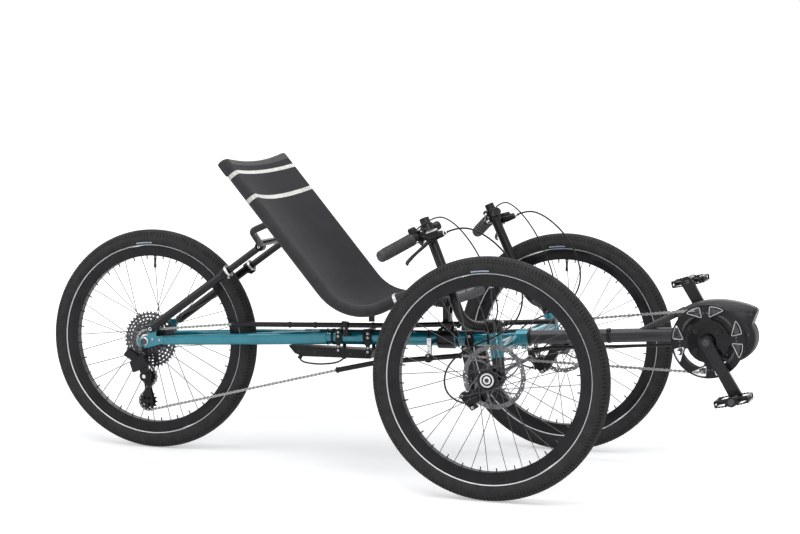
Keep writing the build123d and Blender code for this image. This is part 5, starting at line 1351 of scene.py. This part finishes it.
def make_struts():
    struts = Piece("strut_fittings", "chassis", ANODISED, SILVER, DARK_STEEL, BLACK)
    run = (STRUT_HEAD - STRUT_FOOT).normalized()
    over = run.cross(AXLE).normalized()
    if over.z < 0:
        over = -over
    for side, s in SIDES:
        # split collar and its clamp bolt
        foot, out = strut_point(s, COLLAR_AT), AXLE * s
        struts.tint(0).lathe(foot, run, [(0, 12.7), (0, 15.8), (1.2, 17), (11.5, 17), (12.2, 16.3), (13.8, 16.3),
                                         (14.5, 17), (24.8, 17), (26, 15.8), (26, 10.2)], 48, full=False)
        struts.tint(1).lathe(foot + run * 16.5, run, band(16.5, 17.8, 7.6, 0.8, 0.6), 48, full=False)
        struts.tint(0).box(foot + run * 13 - over * 17.5, (18, 12, 8), run, over, 1.8)
        struts.bolt(foot + run * 13 - over * 17.8 + out * 6, out, 3.4, 2.6)
        # pin holes along the inner tube, bolt through the foot, clevis at the head
        for along in PIN_HOLES:
            struts.tint(2).lathe(strut_point(s, along) + out * 9.3, out,
                                 [(0, 3), (1, 2.9), (1, 2.2), (0.2, 2), (0.2, 0)], 16)
        struts.bolt(at(STRUT_FOOT.x, s * TAB_FACE, STRUT_FOOT.z), out, 5.8, 4)
        head = strut_point(s, STRUT_LENGTH - 6)
        struts.tint(3).lathe(head - AXLE * 12.5, AXLE, band(10.2, 13.8, 25, 1.2, 1.3), 36, full=False)
        struts.bolt(head + out * 12.2, out, 4.6, 3.4)
    struts.done("strut_collars")


def make_caliper(side, s):
    """Two cast halves astride the disc, with their bridge, ears, caps and bolts, and the kingpin's foot."""
    bits = Piece(f"caliper_{side}_fittings", f"knuckle_{side}", ANODISED, SILVER, DARK_STEEL)
    middle = at(-62, s * CALIPER_Y, TYRE_R - 61.5)
    u, w = at(1, 0, 1).normalized(), at(-1, 0, 1).normalized()
    half = rounded([(-17.5, -14), (-12, -17), (-2, -17), (6, -21), (13, -20), (17, -12), (17, 12), (13, 20), (6, 21),
                    (-2, 17), (-12, 17), (-17.5, 14)], 3.5)
    for shift in (-14.8, 2.8):
        bits.slab(half, middle + AXLE * shift, 12, 2.2, 3, u, -w)
    for k in (-21, 21):
        bits.slab(rounded([(-21.5, -6), (-6, -9), (-6, 9), (-21.5, 6)], 3), middle + w * k - AXLE * 14.8, 29.6, 1.6, 2,
                  u, -w)
    bits.box(middle - u * 19.5, (6, 29, 30), u, w, 2)
    bits.rod(on_side(s, CALIPER_NIPPLE), middle - u * 10 - w * 4, 4.2, segs=20)
    for out in (-AXLE, AXLE):
        face = middle + out * 14.6
        bits.tint(0).lathe(face - u, out, [(-1, 13.5), (0.8, 13.5), (1.8, 12.4), (1.8, 8.8), (0.8, 8), (0.8, 0)], 36)
        for k in (-21.5, 21.5):
            bits.bolt(face + w * k - u * 13, out, 4, 3)
        for k in (-11, 0, 11):
            bits.tint(0).box(face + u * 12.5 + w * k, (8.5, 2.2, 7), u, w, 0.6)
    pin = middle + u * 8.5 + w * 19
    bits.tint(1).rod(pin - AXLE * 15.5, pin + AXLE * 15.5, 1.7, segs=12)
    for x, z in ((-30, -34), (-6, -10)):
        bits.bolt(at(x, s * (CALIPER_Y - 15.6), TYRE_R + z), AXLE * s, 4.6, 3)
    down = (kingpin(s, 0) - kingpin(s, 100)).normalized()
    bits.tint(0).lathe(kingpin(s, -12), down, [(-2, 16.5), (1, 16), (2.2, 14), (2.2, 9.5), (1.2, 9), (1.2, 0)], 36)
    bits.tint(1).lathe(kingpin(s, -13.5), down, [(0, 8), (4, 7.8), (4.8, 6.8), (4.8, 0)], 6)
    bits.done(f"caliper_{side}")


def make_tie_joints():
    ends = Piece("tie_rod_joints", "tie_rod", DARK_STEEL, SILVER, RUBBER)
    for side, s in SIDES:
        pin, lean, inward = on_side(s, TIE_PIN), at(-0.1347, s * -0.2745, 1).normalized(), AXLE * -s
        ends.tint(1).lathe(pin + inward * 26, inward, [(0, 6), (0, 9.6), (6, 9.6), (6, 6)], 6, full=False)
        ends.tint(0).lathe(pin + inward * 10, inward, [(0, 6), (0, 9.2), (4, 9.2), (10, 7.8), (16, 7.4), (16, 6)], 28,
                           full=False)
        for out in (-lean, lean):
            ends.tint(2).lathe(pin + out * 6.2, out, [(0, 8.8), (0, 11.8), (0.6, 12.2), (1.6, 10.4), (1.6, 8.6)], 28,
                               full=False)
    ends.done()


def make_seat_fittings():
    """Buckled straps across the back, a silver band on the nose rail, a tab under the rail."""
    lace = Piece("seat_fittings", "chassis", BINDING, PLASTIC, SILVER)
    back = (BACK_LOW - BACK_TOP).normalized()
    away = at(back.z, 0, -back.x)
    for along in (120, 215, 310, 405, 500):
        sag = 24 if along > 200 else 12

        def behind(y, lift):
            return BACK_TOP + back * along + away * (sag * (1 - (y / RAIL_HALF) ** 2) + lift) + AXLE * y

        lace.tint(0).skin([[behind(STRAP_HALF * (k / 6 - 1), 4.5) + away * t + back * b
                            for b, t in ((-11, 0), (11, 0), (11, 1.4), (-11, 1.4))] for k in range(13)])
        for y in (-60, 60):
            lace.tint(1).box(behind(y, 7.5), (26, 32, 6), back, away, 1.8)
    way = at(106, 4, 54).normalized()
    lace.tint(2).lathe(at(-336, -216, 513) - way * 4.5, way, [(0, 17.2), (0, 18.4), (9, 18.4), (9, 17.2)], 40,
                       full=False)
    lace.tint(1).box(at(-408, -221, 460), (18, 3, 26))
    lace.done()


make_frame_fittings()
make_seat_mount()
make_box_fittings()
make_chain_guides()
make_idler()
make_struts()
for side, s in SIDES:
    make_caliper(side, s)
make_tie_joints()
make_seat_fittings()

# ---- floor, light and camera -------------------------------------------------------
floor_mesh = bpy.data.meshes.new("floor")
floor_mesh.from_pydata([(-30, -30, 0), (30, -30, 0), (30, 30, 0), (-30, 30, 0)], [], [(0, 1, 2, 3)])
floor = bpy.data.objects.new("floor", floor_mesh)
bpy.context.collection.objects.link(floor)
# white where a ray sees it directly, shaded under the trike
n = Nodes("floor_white")
paths = n.add("ShaderNodeLightPath").outputs
seen = n.math("MAXIMUM", n.math("MAXIMUM", paths["Is Camera Ray"], paths["Is Glossy Ray"]),
              paths["Is Transmission Ray"])
far = n.add("ShaderNodeVectorMath", operation="LENGTH")
n.link(n.place["Object"], far.inputs[0])
glow = n.add("ShaderNodeMapRange", interpolation_type="SMOOTHSTEP", From_Min=1.2, From_Max=4.5, To_Min=0.38,
             To_Max=1.0)
n.link(far.outputs["Value"], glow.inputs["Value"])
floor_mesh.materials.append(n.set(
    Base_Color=(0.84, 0.84, 0.84, 1), Roughness=0.9, Specular_IOR_Level=0.0, Emission_Color=(1, 1, 1, 1),
    Emission_Strength=n.math("MULTIPLY", seen, glow.outputs[0])))

world = bpy.data.worlds.new("studio")
bpy.context.scene.world = world
world.use_nodes = True
nodes, links = world.node_tree.nodes, world.node_tree.links
nodes.clear()
surface, mix = nodes.new("ShaderNodeOutputWorld"), nodes.new("ShaderNodeMixShader")
ambient, white = nodes.new("ShaderNodeBackground"), nodes.new("ShaderNodeBackground")
for background, colour, strength in ((ambient, (0.93, 0.96, 1, 1), 0.3), (white, (1, 1, 1, 1), 1.0)):
    background.inputs["Color"].default_value = colour
    background.inputs["Strength"].default_value = strength
paths = nodes.new("ShaderNodeLightPath").outputs
either, pick = nodes.new("ShaderNodeMath"), nodes.new("ShaderNodeMath")
either.operation = pick.operation = "MAXIMUM"
for source, target in (
        (paths["Is Camera Ray"], either.inputs[0]), (paths["Is Glossy Ray"], either.inputs[1]),
        (either.outputs[0], pick.inputs[0]), (paths["Is Transmission Ray"], pick.inputs[1]),
        (pick.outputs[0], mix.inputs[0]), (ambient.outputs[0], mix.inputs[1]), (white.outputs[0], mix.inputs[2]),
        (mix.outputs[0], surface.inputs[0])):
    links.new(source, target)


def area_light(name, spot, aim, size, power):
    lamp = bpy.data.lights.new(name, "AREA")
    lamp.shape = "RECTANGLE"
    lamp.size, lamp.size_y = size
    lamp.energy = power
    obj = bpy.data.objects.new(name, lamp)
    bpy.context.collection.objects.link(obj)
    obj.location = spot
    obj.rotation_euler = (Vector(aim) - Vector(spot)).to_track_quat("-Z", "Y").to_euler()


# in metres, like the camera
area_light("top_box", (0.2, -0.2, 3.4), (0, 0, 0.3), (4.2, 2.4), 62)
area_light("front_box", (2.6, -4.2, 2.4), (0.1, 0, 0.4), (2.2, 2.2), 60)
area_light("side_box", (-3.6, -2.4, 2.2), (-0.2, 0, 0.4), (2.4, 1.8), 38)
area_light("streak", (0.3, -1.9, 3.1), (0.1, 0, 0.35), (4.0, 0.22), 30)
area_light("back_box", (0.5, 4.0, 2.6), (0, 0, 0.5), (3.4, 1.6), 36)

camera = bpy.data.objects.new("camera", bpy.data.cameras.new("camera"))
bpy.context.collection.objects.link(camera)
yaw, pitch, roll = radians(18.2366), radians(5.5125), radians(0.6539)
ahead = Vector((-sin(yaw) * cos(pitch), cos(yaw) * cos(pitch), -sin(pitch)))
level = Vector((cos(yaw), sin(yaw), 0))
upright = level.cross(ahead)
across = level * cos(roll) + upright * sin(roll)
upward = upright * cos(roll) - level * sin(roll)
camera.matrix_world = Matrix.Translation((2.02722, -6.0697, 1.2010)) @ Matrix(
    (across, upward, -ahead)).transposed().to_4x4()
camera.data.lens, camera.data.sensor_width, camera.data.clip_end = 98.64, 36, 100
bpy.context.scene.camera = camera
bpy.context.scene.view_settings.view_transform = "Standard"
